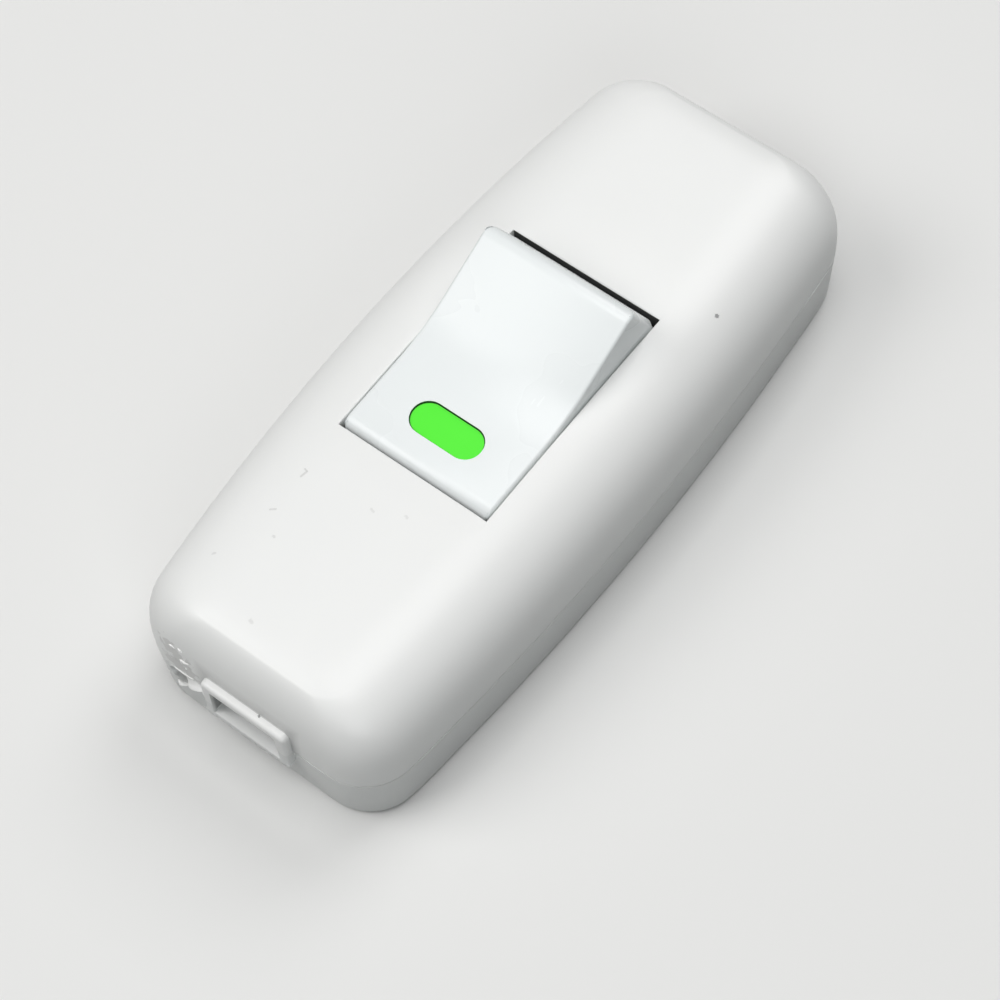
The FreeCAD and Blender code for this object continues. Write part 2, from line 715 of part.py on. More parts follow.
def make_plunger():
    """A round pin with a domed nose, drawn along the rocker's stem."""
    body = new_body("plunger")
    radius = "(Size.bore_radius - Size.plunger_clearance)"
    sketch = new_sketch(body, "XY_Plane", "disc", "-Size.plunger_reach")
    draw_circle(sketch, "0", "0", radius)
    extrude(body, sketch, "Size.plunger_length")
    low = -size("plunger_reach")
    round_edges(body, "nose", f"{radius} - Size.plunger_nose_flat",
                lambda edge: edge.BoundBox.ZMax < low + NEAR)
    set_place(body, **ROCKER_PLACE)
    return body


def make_spring():
    """A coil between the plunger's back and the end of the bore."""
    low = size("plunger_length") - size("plunger_reach")
    wire = size("spring_wire")
    mean = size("bore_radius") - size("spring_clearance") - wire / 2
    height = size("bore_top") - low - wire
    helix = Part.makeHelix(height / size("spring_turns"), height, mean)
    section = Part.Wire([Part.makeCircle(wire / 2, Vector(mean, 0, 0), Vector(0, 1, 0))])
    coil = Part.Wire(helix.Edges).makePipeShell([section], True, True)
    item = add_computed("plunger_spring", coil)
    item.Placement = rocker_placement().multiply(Placement(Vector(0, 0, low + wire / 2), Rotation()))
    return item


# Contact bridge, drawn level with the fulcrum's axis at its origin

BRIDGE_PLACE = {"z": "Size.fulcrum_height", "tilt": "Size.bridge_tilt"}


def make_bridge():
    body = new_body("contact_bridge")
    strip = new_sketch(body, "XZ_Plane", "strip")
    draw_rectangle(strip, "-Size.bridge_free_arm", "Size.bridge_seat", "Size.bridge_contact_arm",
                   "(Size.bridge_seat + Size.bridge_thickness)")
    extrude(body, strip, "2 * Size.bridge_half_width", middle=True)
    groove = new_sketch(body, "XZ_Plane", "groove")
    draw_circle(groove, "0", "0", "(Size.fulcrum_radius + Size.fulcrum_clearance)")
    extrude(body, groove, f"2 * (Size.bridge_half_width + {PAST})", cut=True, middle=True)
    hole = new_sketch(body, "XY_Plane", "hole")
    draw_circle(hole, "Size.contact_distance", "0", "Size.rivet_radius")
    extrude(body, hole, f"Size.bridge_seat + Size.bridge_thickness + {PAST}", cut=True, backwards=True)
    set_place(body, **BRIDGE_PLACE)
    return body


def rivet_profile(body, plate):
    """Half the section of a contact rivet: its face at the bottom, its upset head on the plate."""
    sketch = new_sketch(body, "XZ_Plane", "section")
    head, upset = "Size.contact_head", "Size.rivet_upset"
    draw_polygon(sketch, [
        ("0", f"-{head}"),
        ("(Size.contact_radius - Size.contact_chamfer)", f"-{head}"),
        ("Size.contact_radius", f"(Size.contact_chamfer - {head})"),
        ("Size.contact_radius", "0"),
        ("Size.rivet_radius", "0"),
        ("Size.rivet_radius", plate),
        ("(Size.rivet_radius + Size.rivet_seat)", plate),
        ("Size.rivet_radius", f"({plate} + {upset})"),
        ("0", f"({plate} + {upset})"),
    ])
    revolve(body, sketch)


def make_contacts():
    moving = new_body("moving_contact")
    rivet_profile(moving, "Size.bridge_thickness")
    seat = Vector(size("contact_distance"), 0, size("bridge_seat"))
    turn = Rotation(Vector(0, 1, 0), size("bridge_tilt"))
    fulcrum = Placement(Vector(0, 0, size("fulcrum_height")), turn)
    moving.Placement = fulcrum.multiply(Placement(seat, Rotation()))
    fixed = new_body("fixed_contact")
    rivet_profile(fixed, "Size.strip_thickness")
    top = size("floor_thickness") + size("load_strip_rise") + size("strip_thickness")
    fixed.Placement = Placement(Vector(size("contact_distance"), 0, top), Rotation(Vector(1, 0, 0), 180))
    return [moving, fixed]


# Terminals


def wire_and_screw_holes(body, end, name):
    """The wire's way in from the cord's side and the screw's hole from above."""
    middle = f"({end} * {BLOCK_MIDDLE})"
    wire = new_sketch(body, "YZ_Plane", f"{name}_wire", f"{end} * {BLOCK_FAR}")
    draw_circle(wire, "0", "(Size.floor_thickness + Size.wire_hole_rise)", "Size.wire_hole_radius")
    extrude(body, wire, "Size.wire_hole_depth", cut=True, backwards=end < 0)
    screw = new_sketch(body, "XY_Plane", f"{name}_screw", "Size.floor_thickness + Size.wire_hole_rise")
    draw_circle(screw, middle, "0", "(Size.terminal_screw_radius + Size.thread_clearance)")
    extrude(body, screw, "Size.block_height", cut=True, backwards=True)


def make_feed_terminal():
    """Pillar, strip along the floor and the upright that the bridge rocks on, in one piece."""
    body = new_body("feed_terminal")
    profile = new_sketch(body, "XZ_Plane", "profile")
    floor, strip_top = "Size.floor_thickness", "(Size.floor_thickness + Size.strip_thickness)"
    block_top = f"({floor} + Size.block_height)"
    near, far = f"-{BLOCK_NEAR}", f"-{BLOCK_FAR}"
    draw_polygon(profile, [
        (far, floor), ("Size.fulcrum_radius", floor), ("Size.fulcrum_radius", "Size.fulcrum_height"),
        ("-Size.fulcrum_radius", "Size.fulcrum_height"), ("-Size.fulcrum_radius", strip_top),
        (near, strip_top), (near, block_top), (far, block_top),
    ])
    extrude(body, profile, "2 * Size.block_half_width", middle=True)
    crest = new_sketch(body, "XZ_Plane", "crest")
    draw_circle(crest, "0", "Size.fulcrum_height", "Size.fulcrum_radius")
    extrude(body, crest, "2 * Size.block_half_width", middle=True)
    for side, name in ((-1, "near"), (1, "far")):
        trim = new_sketch(body, "XZ_Plane", f"{name}_trim",
                          f"{side} * (Size.strip_half_width + Size.block_half_width)")
        draw_rectangle(trim, near, "0", f"{BEYOND}", f"{BEYOND}")
        extrude(body, trim, "Size.block_half_width", cut=True, backwards=side < 0)
    wire_and_screw_holes(body, -1, "feed")
    return body


def make_load_terminal():
    """Pillar and the strip that carries the fixed contact."""
    body = new_body("load_terminal")
    low = "(Size.floor_thickness + Size.load_strip_rise)"
    pillar = new_sketch(body, "XY_Plane", "pillar", "Size.floor_thickness")
    draw_rectangle(pillar, BLOCK_NEAR, "-Size.block_half_width", BLOCK_FAR, "Size.block_half_width")
    extrude(body, pillar, "Size.block_height")
    strip = new_sketch(body, "XY_Plane", "strip", low)
    draw_rectangle(strip, "(Size.contact_distance - Size.contact_tail)", "-Size.strip_half_width",
                   f"({BLOCK_NEAR} + {PAST})", "Size.strip_half_width")
    extrude(body, strip, "Size.strip_thickness")
    hole = new_sketch(body, "XY_Plane", "hole", low)
    draw_circle(hole, "Size.contact_distance", "0", "Size.rivet_radius")
    extrude(body, hole, "Size.strip_thickness", cut=True, backwards=True)
    wire_and_screw_holes(body, 1, "load")
    return body


def make_neutral_terminal():
    """The bar that joins the neutral core of both cords, past the switch."""
    body = new_body("neutral_terminal")
    bar = new_sketch(body, "XY_Plane", "bar", "Size.floor_thickness")
    half_length = "Size.neutral_half_length"
    low_y, high_y = (f"({NEUTRAL_Y} {sign} Size.neutral_half_width)" for sign in "-+")
    draw_rectangle(bar, f"-{half_length}", low_y, half_length, high_y)
    extrude(body, bar, "Size.neutral_height")
    rise = "(Size.floor_thickness + Size.neutral_hole_rise)"
    for end, name in ((-1, "inlet"), (1, "outlet")):
        wire = new_sketch(body, "YZ_Plane", f"{name}_wire", f"{end} * {half_length}")
        draw_circle(wire, NEUTRAL_Y, rise, "Size.wire_hole_radius")
        extrude(body, wire, "Size.neutral_hole_depth", cut=True, backwards=end < 0)
        screw = new_sketch(body, "XY_Plane", f"{name}_screw", rise)
        draw_circle(screw, f"({end} * Size.neutral_screw_distance)", NEUTRAL_Y,
                    "(Size.terminal_screw_radius + Size.thread_clearance)")
        extrude(body, screw, "Size.neutral_height", cut=True, backwards=True)
    return body


# Cord clamps and screws


def make_clamp(label, end):
    """A bridge over the cord that two screws press down on it."""
    body = new_body(label)
    bar = new_sketch(body, "YZ_Plane", "bar")
    foot, arch = "Size.clamp_foot", "Size.inlet_top"
    half, inner = "Size.clamp_half_width", "Size.clamp_arch_half_width"
    draw_polygon(bar, [
        (f"-{half}", foot), (f"-{inner}", foot), (f"-{inner}", arch), (inner, arch), (inner, foot),
        (half, foot), (half, CLAMP_TOP), (f"-{half}", CLAMP_TOP),
    ])
    extrude(body, bar, "2 * Size.clamp_half_length", middle=True)
    holes = new_sketch(body, "XY_Plane", "holes")
    for side in (-1, 1):
        draw_circle(holes, "0", f"({side} * Size.clamp_screw_distance)",
                    "(Size.clamp_screw_radius + Size.housing_hole_clearance)")
    extrude(body, holes, f"{CLAMP_TOP} + {PAST}", cut=True, backwards=True)
    set_place(body, x=f"{end} * {CLAMP_DISTANCE}")
    return body


def make_screw(label, radius, head_radius, head, length, place, upside_down=False):
    """A slotted screw: its seat is at its origin, the shank goes down and the head stands up."""
    body = new_body(label)
    section = new_sketch(body, "XZ_Plane", "section")
    chamfer = "Size.screw_chamfer"
    draw_polygon(section, [
        ("0", f"-({length})"), (f"({radius} - {chamfer})", f"-({length})"),
        (radius, f"({chamfer} - {length})"), (radius, "0"), (head_radius, "0"),
        (head_radius, f"({head} - {chamfer})"), (f"({head_radius} - {chamfer})", head), ("0", head),
    ])
    revolve(body, section)
    slot = new_sketch(body, "XY_Plane", "slot", head)
    reach, half = f"({head_radius} + {PAST})", "Size.slot_width / 2"
    draw_rectangle(slot, f"-{reach}", f"-{half}", reach, half)
    extrude(body, slot, "Size.slot_depth", cut=True)
    turn = Rotation(Vector(1, 0, 0), 180 if upside_down else 0)
    body.Placement = Placement(Vector(*(worth(expression) for expression in place)), turn)
    for axis, expression in zip("xyz", place):
        body.setExpression(f"Placement.Base.{axis}", expression)
    return body


def make_terminal_screw(label, x, y, top, wire_rise):
    """A terminal's clamping screw, backed off far enough to leave the wire's way free."""
    tip = f"(Size.floor_thickness + {wire_rise} + Size.wire_hole_radius + Size.terminal_tip_gap)"
    return make_screw(label, "Size.terminal_screw_radius", "Size.terminal_head_radius",
                      "Size.terminal_head", f"({top} + Size.terminal_screw_stand - {tip})",
                      (x, y, f"({top} + Size.terminal_screw_stand)"))


def make_screws():
    screws = []
    block_top = "(Size.floor_thickness + Size.block_height)"
    neutral_top = "(Size.floor_thickness + Size.neutral_height)"
    for name, end in (("feed", -1), ("load", 1)):
        screws.append(make_terminal_screw(f"{name}_terminal_screw", f"{end} * {BLOCK_MIDDLE}", "0",
                                          block_top, "Size.wire_hole_rise"))
    for name, end in (("inlet", -1), ("outlet", 1)):
        screws.append(make_terminal_screw(f"neutral_{name}_screw", f"{end} * Size.neutral_screw_distance",
                                          NEUTRAL_Y, neutral_top, "Size.neutral_hole_rise"))
        for side_name, side in (("right", -1), ("left", 1)):
            place = (f"{end} * {CLAMP_DISTANCE}", f"{side} * Size.clamp_screw_distance", CLAMP_TOP)
            screws.append(make_screw(f"{name}_clamp_screw_{side_name}",
                                     "Size.clamp_screw_radius", "Size.clamp_head_radius",
                                     "Size.clamp_head", "Size.clamp_screw_length", place))
    for name, sign in (("front", 1), ("rear", -1)):
        place = (f"{sign} * {HOUSING_SCREW_X}", f"{-sign} * {HOUSING_SCREW_Y}", "Size.housing_sink")
        screws.append(make_screw(f"housing_screw_{name}",
                                 "Size.housing_screw_radius", "Size.housing_head_radius",
                                 "Size.housing_head", "Size.housing_screw_length", place, upside_down=True))
    return screws


pieces = [
    add_computed("lower_base", make_lower_base()),
    add_computed("upper_cover", make_upper_cover()),
    make_rocker(),
    make_window(),
    make_plunger(),
    make_spring(),
    make_bridge(),
    *make_contacts(),
    make_feed_terminal(),
    make_load_terminal(),
    make_neutral_terminal(),
    make_clamp("inlet_cord_clamp", -1),
    make_clamp("outlet_cord_clamp", 1),
    *make_screws(),
]
doc.recompute()

for item in doc.Objects:
    if {"Invalid", "Error"} & set(item.State):
        raise RuntimeError(f"{item.Name} did not build: {item.State}")
os.makedirs("parts", exist_ok=True)
for piece in pieces:
    if piece.Shape.isNull() or not piece.Shape.isValid():
        raise RuntimeError(f"{piece.Label} has no valid shape")
    if len(piece.Shape.Solids) != 1:
        raise RuntimeError(f"{piece.Label} has {len(piece.Shape.Solids)} solids")
    piece.Shape.exportStep(f"parts/{piece.Label}.step")
    box = piece.Shape.BoundBox
    print(f"{piece.Label:26s} {piece.Shape.Volume:9.2f} mm3  "
          f"x {box.XMin:7.2f} {box.XMax:7.2f}  y {box.YMin:7.2f} {box.YMax:7.2f}"
          f"  z {box.ZMin:7.2f} {box.ZMax:7.2f}")
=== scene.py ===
"""Inline cord switch: casing, rocker with a green window, contacts, terminals and screws."""

import json
import logging
import math
from collections.abc import Callable, Sequence
from dataclasses import dataclass
from enum import Enum

import bmesh
import bpy
from mathutils import Matrix, Vector


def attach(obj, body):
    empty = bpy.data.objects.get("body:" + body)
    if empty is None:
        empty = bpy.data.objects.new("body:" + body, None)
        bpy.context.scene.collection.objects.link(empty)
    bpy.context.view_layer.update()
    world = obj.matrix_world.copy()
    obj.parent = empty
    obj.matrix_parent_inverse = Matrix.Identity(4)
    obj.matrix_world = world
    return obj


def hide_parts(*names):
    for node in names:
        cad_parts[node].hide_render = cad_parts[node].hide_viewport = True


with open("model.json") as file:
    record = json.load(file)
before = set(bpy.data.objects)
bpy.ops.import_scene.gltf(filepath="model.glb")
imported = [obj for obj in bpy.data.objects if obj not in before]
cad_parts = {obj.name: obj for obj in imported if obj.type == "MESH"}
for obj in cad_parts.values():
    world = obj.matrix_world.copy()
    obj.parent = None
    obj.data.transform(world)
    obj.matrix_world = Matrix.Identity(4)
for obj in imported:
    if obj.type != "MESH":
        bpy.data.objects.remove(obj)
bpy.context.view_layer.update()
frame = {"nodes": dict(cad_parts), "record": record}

Piece = bpy.types.Object
Material = bpy.types.Material
NodeTree = bpy.types.NodeTree
Socket = bpy.types.NodeSocket
EdgeTest = Callable[[Vector, Vector], bool]
Point = tuple[float, float]
Triple = tuple[float, float, float]

MM = 0.001
UP = Vector((0, 0, 1))
# Places this close, in millimetres, are the same place, and places this far apart are not
CLOSE = 0.01
APART = 0.1
# The height of the rocker's axis in millimetres
PIVOT_HEIGHT = 14.33
# Vertices this close, in metres, are welded in a new ring form and in a copy of a node
RING_WELD = 0.001 * MM
COPY_WELD = 0.0005 * MM
# Faces of a copy that meet more flatly than this, in degrees, are one face
FLAT_ANGLE = 0.4
# How deep the grain of a surface is, in metres
GRAIN_DEPTH = 0.0001
log = logging.getLogger("cord_switch")


class Way(Enum):
    """How one solid is combined with another."""

    JOIN = "UNION"
    CUT = "DIFFERENCE"


class Side(Enum):
    """The two ends of the casing along X."""

    INLET = -1
    OUTLET = 1


class MetalKind(Enum):
    """The metals inside the casing: colour, roughness and how strongly they are brushed."""

    BRASS = ((0.80, 0.60, 0.28), 0.30, 0.35)
    COPPER = ((0.80, 0.45, 0.27), 0.32, 0.30)
    SILVER = ((0.86, 0.85, 0.82), 0.28, 0.20)
    ZINC = ((0.70, 0.71, 0.73), 0.34, 0.40)
    SPRING = ((0.60, 0.60, 0.61), 0.26, 0.15)


# Modelling steps


def deselect_all() -> None:
    """Leaves object mode with nothing selected."""
    if bpy.context.object and bpy.context.object.mode != "OBJECT":
        bpy.ops.object.mode_set(mode="OBJECT")
    bpy.ops.object.select_all(action="DESELECT")


def pick(piece: Piece) -> None:
    """Makes a piece the only selected and the active object.

    Args:
        piece: The object to work on.
    """
    deselect_all()
    piece.select_set(True)
    bpy.context.view_layer.objects.active = piece


def start(piece: Piece, name: str) -> Piece:
    """Names a fresh primitive and brings its size and place into its mesh.

    Args:
        piece: The object that an add operator has just made.
        name: Its new name.

    Returns:
        The same object.
    """
    piece.name = name
    piece.data.name = name
    pick(piece)
    bpy.ops.object.transform_apply(location=True, rotation=True, scale=True)
    return piece


def select_edges(piece: Piece, wanted: EdgeTest, least_angle: float = 0.0) -> None:
    """Enters edit mode with the edges selected that a test picks.

    Args:
        piece: The object to edit.
        wanted: Takes an edge's two ends and says whether it is meant.
        least_angle: Edges between faces that meet more flatly than this, in degrees, are left out.
    """
    pick(piece)
    bpy.ops.object.mode_set(mode="EDIT")
    bpy.ops.mesh.select_mode(type="EDGE")
    bpy.ops.mesh.select_all(action="DESELECT")
    mesh = bmesh.from_edit_mesh(piece.data)
    for edge in mesh.edges:
        edge.select_set(wanted(edge.verts[0].co, edge.verts[1].co)
                        and edge.calc_face_angle(math.pi) >= math.radians(least_angle))
    bmesh.update_edit_mesh(piece.data)


def round_edges(piece: Piece, radius: float, steps: int, wanted: EdgeTest,
                least_angle: float = 0.0) -> None:
    """Bevels the edges that a test picks.

    Args:
        piece: The object to edit.
        radius: Width of the round in metres.
        steps: Number of faces across it.
        wanted: Takes an edge's two ends and says whether it is meant.
        least_angle: Edges between faces that meet more flatly than this, in degrees, are left out.
    """
    select_edges(piece, wanted, least_angle)
    bpy.ops.mesh.bevel(offset=radius, segments=steps, profile=0.5, affect="EDGES", clamp_overlap=False)
    bpy.ops.object.mode_set(mode="OBJECT")


def smooth(piece: Piece, angle: float = 32.0) -> None:
    """Shades a piece smooth but for its sharp edges.

    Args:
        piece: The object to shade.
        angle: Edges sharper than this stay sharp, in degrees.
    """
    pick(piece)
    bpy.ops.object.shade_smooth_by_angle(angle=math.radians(angle))


def combine(piece: Piece, other: Piece, way: Way) -> None:
    """Joins another solid to a piece or cuts it out, and uses the other one up.

    Args:
        piece: The solid that stays.
        other: The solid that is joined or cut out.
        way: Which of the two.
    """
    modifier = piece.modifiers.new(way.name.lower(), "BOOLEAN")
    modifier.operation = way.value
    modifier.solver = "EXACT"
    modifier.object = other
    pick(piece)
    bpy.ops.object.modifier_apply(modifier=modifier.name)
    bpy.data.objects.remove(other)


def gather(parts: Sequence[Piece]) -> Piece:
    """Puts solids that don't touch each other into one object.

    Args:
        parts: The solids.

    Returns:
        The one object that holds them.
    """
    pick(parts[0])
    for part in parts:
        part.select_set(True)
    bpy.ops.object.join()
    return parts[0]


def block(name: str, low: Sequence[float], high: Sequence[float]) -> Piece:
    """A box between two corners, ready to be shaped further.

    Args:
        name: The object's name.
        low: Its lowest corner in millimetres.
        high: Its highest corner in millimetres.

    Returns:
        The new object.
    """
    deselect_all()
    middle = [(a + b) / 2 * MM for a, b in zip(low, high)]
    spans = [(b - a) * MM for a, b in zip(low, high)]
    bpy.ops.mesh.primitive_cube_add(size=1.0, location=middle, scale=spans)
    return start(bpy.context.object, name)


def rod(name: str, radius: float, foot: Vector, axis: Vector, length: float, around: int = 48) -> Piece:
    """A cylinder from a foot point along an axis.

    Args:
        name: The object's name.
        radius: In millimetres.
        foot: Centre of its lower end in millimetres.
        axis: Unit direction from the foot.
        length: In millimetres.
        around: Number of faces around it.

    Returns:
        The new object.
    """
    deselect_all()
    turn = axis.to_track_quat("Z", "Y").to_euler()
    bpy.ops.mesh.primitive_cylinder_add(vertices=around, radius=radius * MM, depth=length * MM,
                                        location=(foot + axis * (length / 2)) * MM, rotation=turn)
    return start(bpy.context.object, name)


def loft(name: str, rings: Sequence[Sequence[Vector]]) -> Piece:
    """Extrudes a ring of vertices from ring to ring and closes the last one on the first.

    Args:
        name: The object's name.
        rings: Rings of as many points each, in millimetres, that follow each other.

    Returns:
        The new closed object.
    """
    deselect_all()
    count = len(rings[0])
    bpy.ops.mesh.primitive_circle_add(vertices=count, radius=MM)
    piece = bpy.context.object
    bpy.ops.object.mode_set(mode="EDIT")
    mesh = bmesh.from_edit_mesh(piece.data)
    for vertex, point in zip(mesh.verts, rings[0]):
        vertex.co = point * MM
    bmesh.update_edit_mesh(piece.data)
    for previous, ring in zip(rings, [*rings[1:], rings[0]]):
        order = {tuple(round(c * MM, 9) for c in point): number for number, point in enumerate(previous)}
        bpy.ops.mesh.extrude_region_move()
        mesh = bmesh.from_edit_mesh(piece.data)
        for vertex in (v for v in mesh.verts if v.select):
            key = min(order, key=lambda spot: sum((a - b) ** 2 for a, b in zip(spot, vertex.co)))
            vertex.co = ring[order[key]] * MM
        bmesh.update_edit_mesh(piece.data)
    bpy.ops.mesh.select_all(action="SELECT")
    bpy.ops.mesh.remove_doubles(threshold=RING_WELD)
    bpy.ops.mesh.normals_make_consistent(inside=False)
    bpy.ops.object.mode_set(mode="OBJECT")
    return start(piece, name)


def span(side: int, near: float, far: float) -> Point:
    """Two distances from the middle as places on one side of it, the lower one first."""
    low, high = sorted((side * near, side * far))
    return low, high


def strand(name: str, spine: Sequence[tuple[Vector, float, float]], out: Vector,
           section: Sequence[Point]) -> Piece:
    """A torn strand of plastic with both its ends closed, extruded from ring to ring along a spine.

    Args:
        name: The object's name.
        spine: For each ring its centre and its section's width and thickness, in millimetres.
        out: Unit direction away from the wall.
        section: The section's points, along and away from the wall, for sizes of one.

    Returns:
        The new closed object.
    """
    rings = []
    for number, (centre, width, thickness) in enumerate(spine):
        ahead = spine[min(number + 1, len(spine) - 1)][0] - spine[max(number - 1, 0)][0]
        across = out.cross(ahead).normalized()
        rings.append([centre + across * (width * a) + out * (thickness * b) for a, b in section])
    around = len(section)
    deselect_all()
    bpy.ops.mesh.primitive_circle_add(vertices=around, radius=MM, fill_type="NGON")
    piece = bpy.context.object
    bpy.ops.object.mode_set(mode="EDIT")
    for number, ring in enumerate(rings):
        if number:
            bpy.ops.mesh.extrude_region_move()
        mesh = bmesh.from_edit_mesh(piece.data)
        face = next(f for f in mesh.faces if f.select and len(f.verts) == around)
        for vertex, point in zip(face.verts, ring):
            vertex.co = point * MM
        bmesh.update_edit_mesh(piece.data)
    bpy.ops.mesh.select_all(action="SELECT")
    bpy.ops.mesh.normals_make_consistent(inside=False)
    bpy.ops.object.mode_set(mode="OBJECT")
    return start(piece, name)


def merged_copy(node: str, name: str) -> Piece:
    """A copy of a node's mesh with its loose triangles merged and its flat faces made whole.

    Args:
        node: The node that is copied.
        name: The copy's name.

    Returns:
        The new object.
    """
    source = frame["nodes"][node]
    piece = bpy.data.objects.new(name, source.data.copy())
    piece.data.name = name
    piece.data.materials.clear()
    bpy.context.scene.collection.objects.link(piece)
    pick(piece)
    if piece.data.has_custom_normals:
        bpy.ops.mesh.customdata_custom_splitnormals_clear()
    bpy.ops.object.mode_set(mode="EDIT")
    bpy.ops.mesh.select_all(action="SELECT")
    bpy.ops.mesh.remove_doubles(threshold=COPY_WELD)
    bpy.ops.mesh.dissolve_limited(angle_limit=math.radians(FLAT_ANGLE), delimit={"NORMAL"})
    bpy.ops.object.mode_set(mode="OBJECT")
    return piece


def hand_over(piece: Piece, body: str, slot: str, material: Material, *nodes: str) -> None:
    """Gives a finished piece its material and body, and hides the nodes it stands for.

    Args:
        piece: The finished piece.
        body: The body that it rides on.
        slot: Its material slot in the record; not used.
        material: Its material.
        nodes: The nodes that it replaces.
    """
    if not piece.data.materials:
        piece.data.materials.append(material)
    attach(piece, body)
    if nodes:
        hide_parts(*nodes)
    log.info("%s: %d faces on %s", piece.name, len(piece.data.polygons), body)


# Finishes


class Canvas:
    """A node tree with short calls for adding and linking nodes."""

    # Where a Mix node keeps its two colour inputs and its colour result
    COLOUR_INPUTS = slice(6, 8)
    COLOUR_RESULT = 2

    def __init__(self, tree: NodeTree) -> None:
        """Keeps the tree that is drawn on."""
        self.tree = tree

    def add(self, kind: str, links: dict[str, Socket] | None = None,
            values: dict[str, object] | None = None, **settings: object) -> bpy.types.Node:
        """Adds a node, sets it up and links its inputs.

        Args:
            kind: The node's type name.
            links: Output sockets by the name of the input that takes them.
            values: Plain values by input name.
            settings: The node's own properties.

        Returns:
            The new node.
        """
        node = self.tree.nodes.new(kind)
        for name, value in settings.items():
            setattr(node, name, value)
        for name, value in (values or {}).items():
            node.inputs[name].default_value = value
        for name, socket in (links or {}).items():
            self.tree.links.new(socket, node.inputs[name])
        return node

    def feed(self, inputs: Sequence[Socket], values: Sequence[object]) -> None:
        """Links inputs to sockets or sets them to plain values.

        Args:
            inputs: The input sockets.
            values: A socket or a plain value for each.
        """
        for socket, value in zip(inputs, values):
            if isinstance(value, Socket):
                self.tree.links.new(value, socket)
            else:
                socket.default_value = value

    def math(self, operation: str, first: object, second: object = 0.0, clamp: bool = False) -> Socket:
        """A Math node on two sockets or numbers.

        Args:
            operation: The node's operation.
            first: A socket or a number.
            second: A socket or a number.
            clamp: Whether the result is held between 0 and 1.

        Returns:
            The result's socket.
        """
        node = self.tree.nodes.new("ShaderNodeMath")
        node.operation, node.use_clamp = operation, clamp
        self.feed(node.inputs, (first, second))
        return node.outputs[0]

    def vector(self, operation: str, first: object, second: object, result: str = "Vector") -> Socket:
        """A Vector Math node on two sockets or vectors.

        Args:
            operation: The node's operation.
            first: A socket or a vector.
            second: A socket or a vector.
            result: The output that is wanted.

        Returns:
            The result's socket.
        """
        node = self.tree.nodes.new("ShaderNodeVectorMath")
        node.operation = operation
        self.feed(node.inputs, (first, second))
        return node.outputs[result]

    def mix(self, mask: Socket, below: object, above: object) -> Socket:
        """A colour mix by a mask.

        Args:
            mask: Where the upper colour shows.
            below: A socket or a colour.
            above: A socket or a colour.

        Returns:
            The mixed colour's socket.
        """
        node = self.tree.nodes.new("ShaderNodeMix")
        node.data_type = "RGBA"
        self.tree.links.new(mask, node.inputs["Factor"])
        colours = [value if isinstance(value, Socket) else (*value, 1.0) for value in (below, above)]
        self.feed(node.inputs[self.COLOUR_INPUTS], colours)
        return node.outputs[self.COLOUR_RESULT]


def new_group(name: str, inputs: dict[str, object],
              outputs: Sequence[str]) -> tuple[NodeTree, Canvas, bpy.types.Node, bpy.types.Node]:
    """Starts a shader node group with named inputs and outputs.

    Args:
        name: The group's name.
        inputs: The default value of each input by its name, a number or a vector.
        outputs: Names of the float outputs.

    Returns:
        The tree, its canvas, and its input and output nodes.
    """
    tree = bpy.data.node_groups.new(name, "ShaderNodeTree")
    for label, value in inputs.items():
        kind = "NodeSocketFloat" if isinstance(value, float) else "NodeSocketVector"
        socket = tree.interface.new_socket(name=label, in_out="INPUT", socket_type=kind)
        socket.default_value = value
    for label in outputs:
        tree.interface.new_socket(name=label, in_out="OUTPUT", socket_type="NodeSocketFloat")
    return tree, Canvas(tree), tree.nodes.new("NodeGroupInput"), tree.nodes.new("NodeGroupOutput")


def moulded_skin_group() -> NodeTree:
    """The surface of an injection moulding: faint flow mottle, fine grain and stray hairlines.

    Returns:
        A group that puts out Mottle, Gloss and Height.
    """
    hair_level, hair_contrast, hair_depth = 0.68, 4.0, 0.2
    mottle_gloss, hair_gloss = 0.6, 0.4
    tree, canvas, given, out = new_group("moulded skin", {"Grain Scale": 2600.0, "Mottle Scale": 60.0},
                                         ("Mottle", "Gloss", "Height"))
    place = canvas.add("ShaderNodeTexCoord").outputs["Object"]
    mottle = canvas.add("ShaderNodeTexNoise", {"Vector": place, "Scale": given.outputs["Mottle Scale"]},
                        {"Detail": 3.0, "Roughness": 0.55})
    grain = canvas.add("ShaderNodeTexNoise", {"Vector": place, "Scale": given.outputs["Grain Scale"]},
                       {"Detail": 2.0, "Roughness": 0.5})
    stretch = canvas.add("ShaderNodeMapping", {"Vector": place},
                         {"Rotation": (0.2, 0.1, 0.7), "Scale": (40.0, 900.0, 500.0)})
    hairs = canvas.add("ShaderNodeTexNoise", {"Vector": stretch.outputs[0]}, {"Scale": 1.0, "Detail": 2.0})
    above_level = canvas.math("SUBTRACT", hairs.outputs["Fac"], hair_level)
    scratch = canvas.math("MULTIPLY", above_level, hair_contrast, True)
    gloss = canvas.math("ADD", canvas.math("MULTIPLY", mottle.outputs["Fac"], mottle_gloss),
                        canvas.math("MULTIPLY", scratch, hair_gloss))
    height = canvas.math("SUBTRACT", grain.outputs["Fac"], canvas.math("MULTIPLY", scratch, hair_depth))
    tree.links.new(mottle.outputs["Fac"], out.inputs["Mottle"])
    tree.links.new(gloss, out.inputs["Gloss"])
    tree.links.new(height, out.inputs["Height"])
    return tree


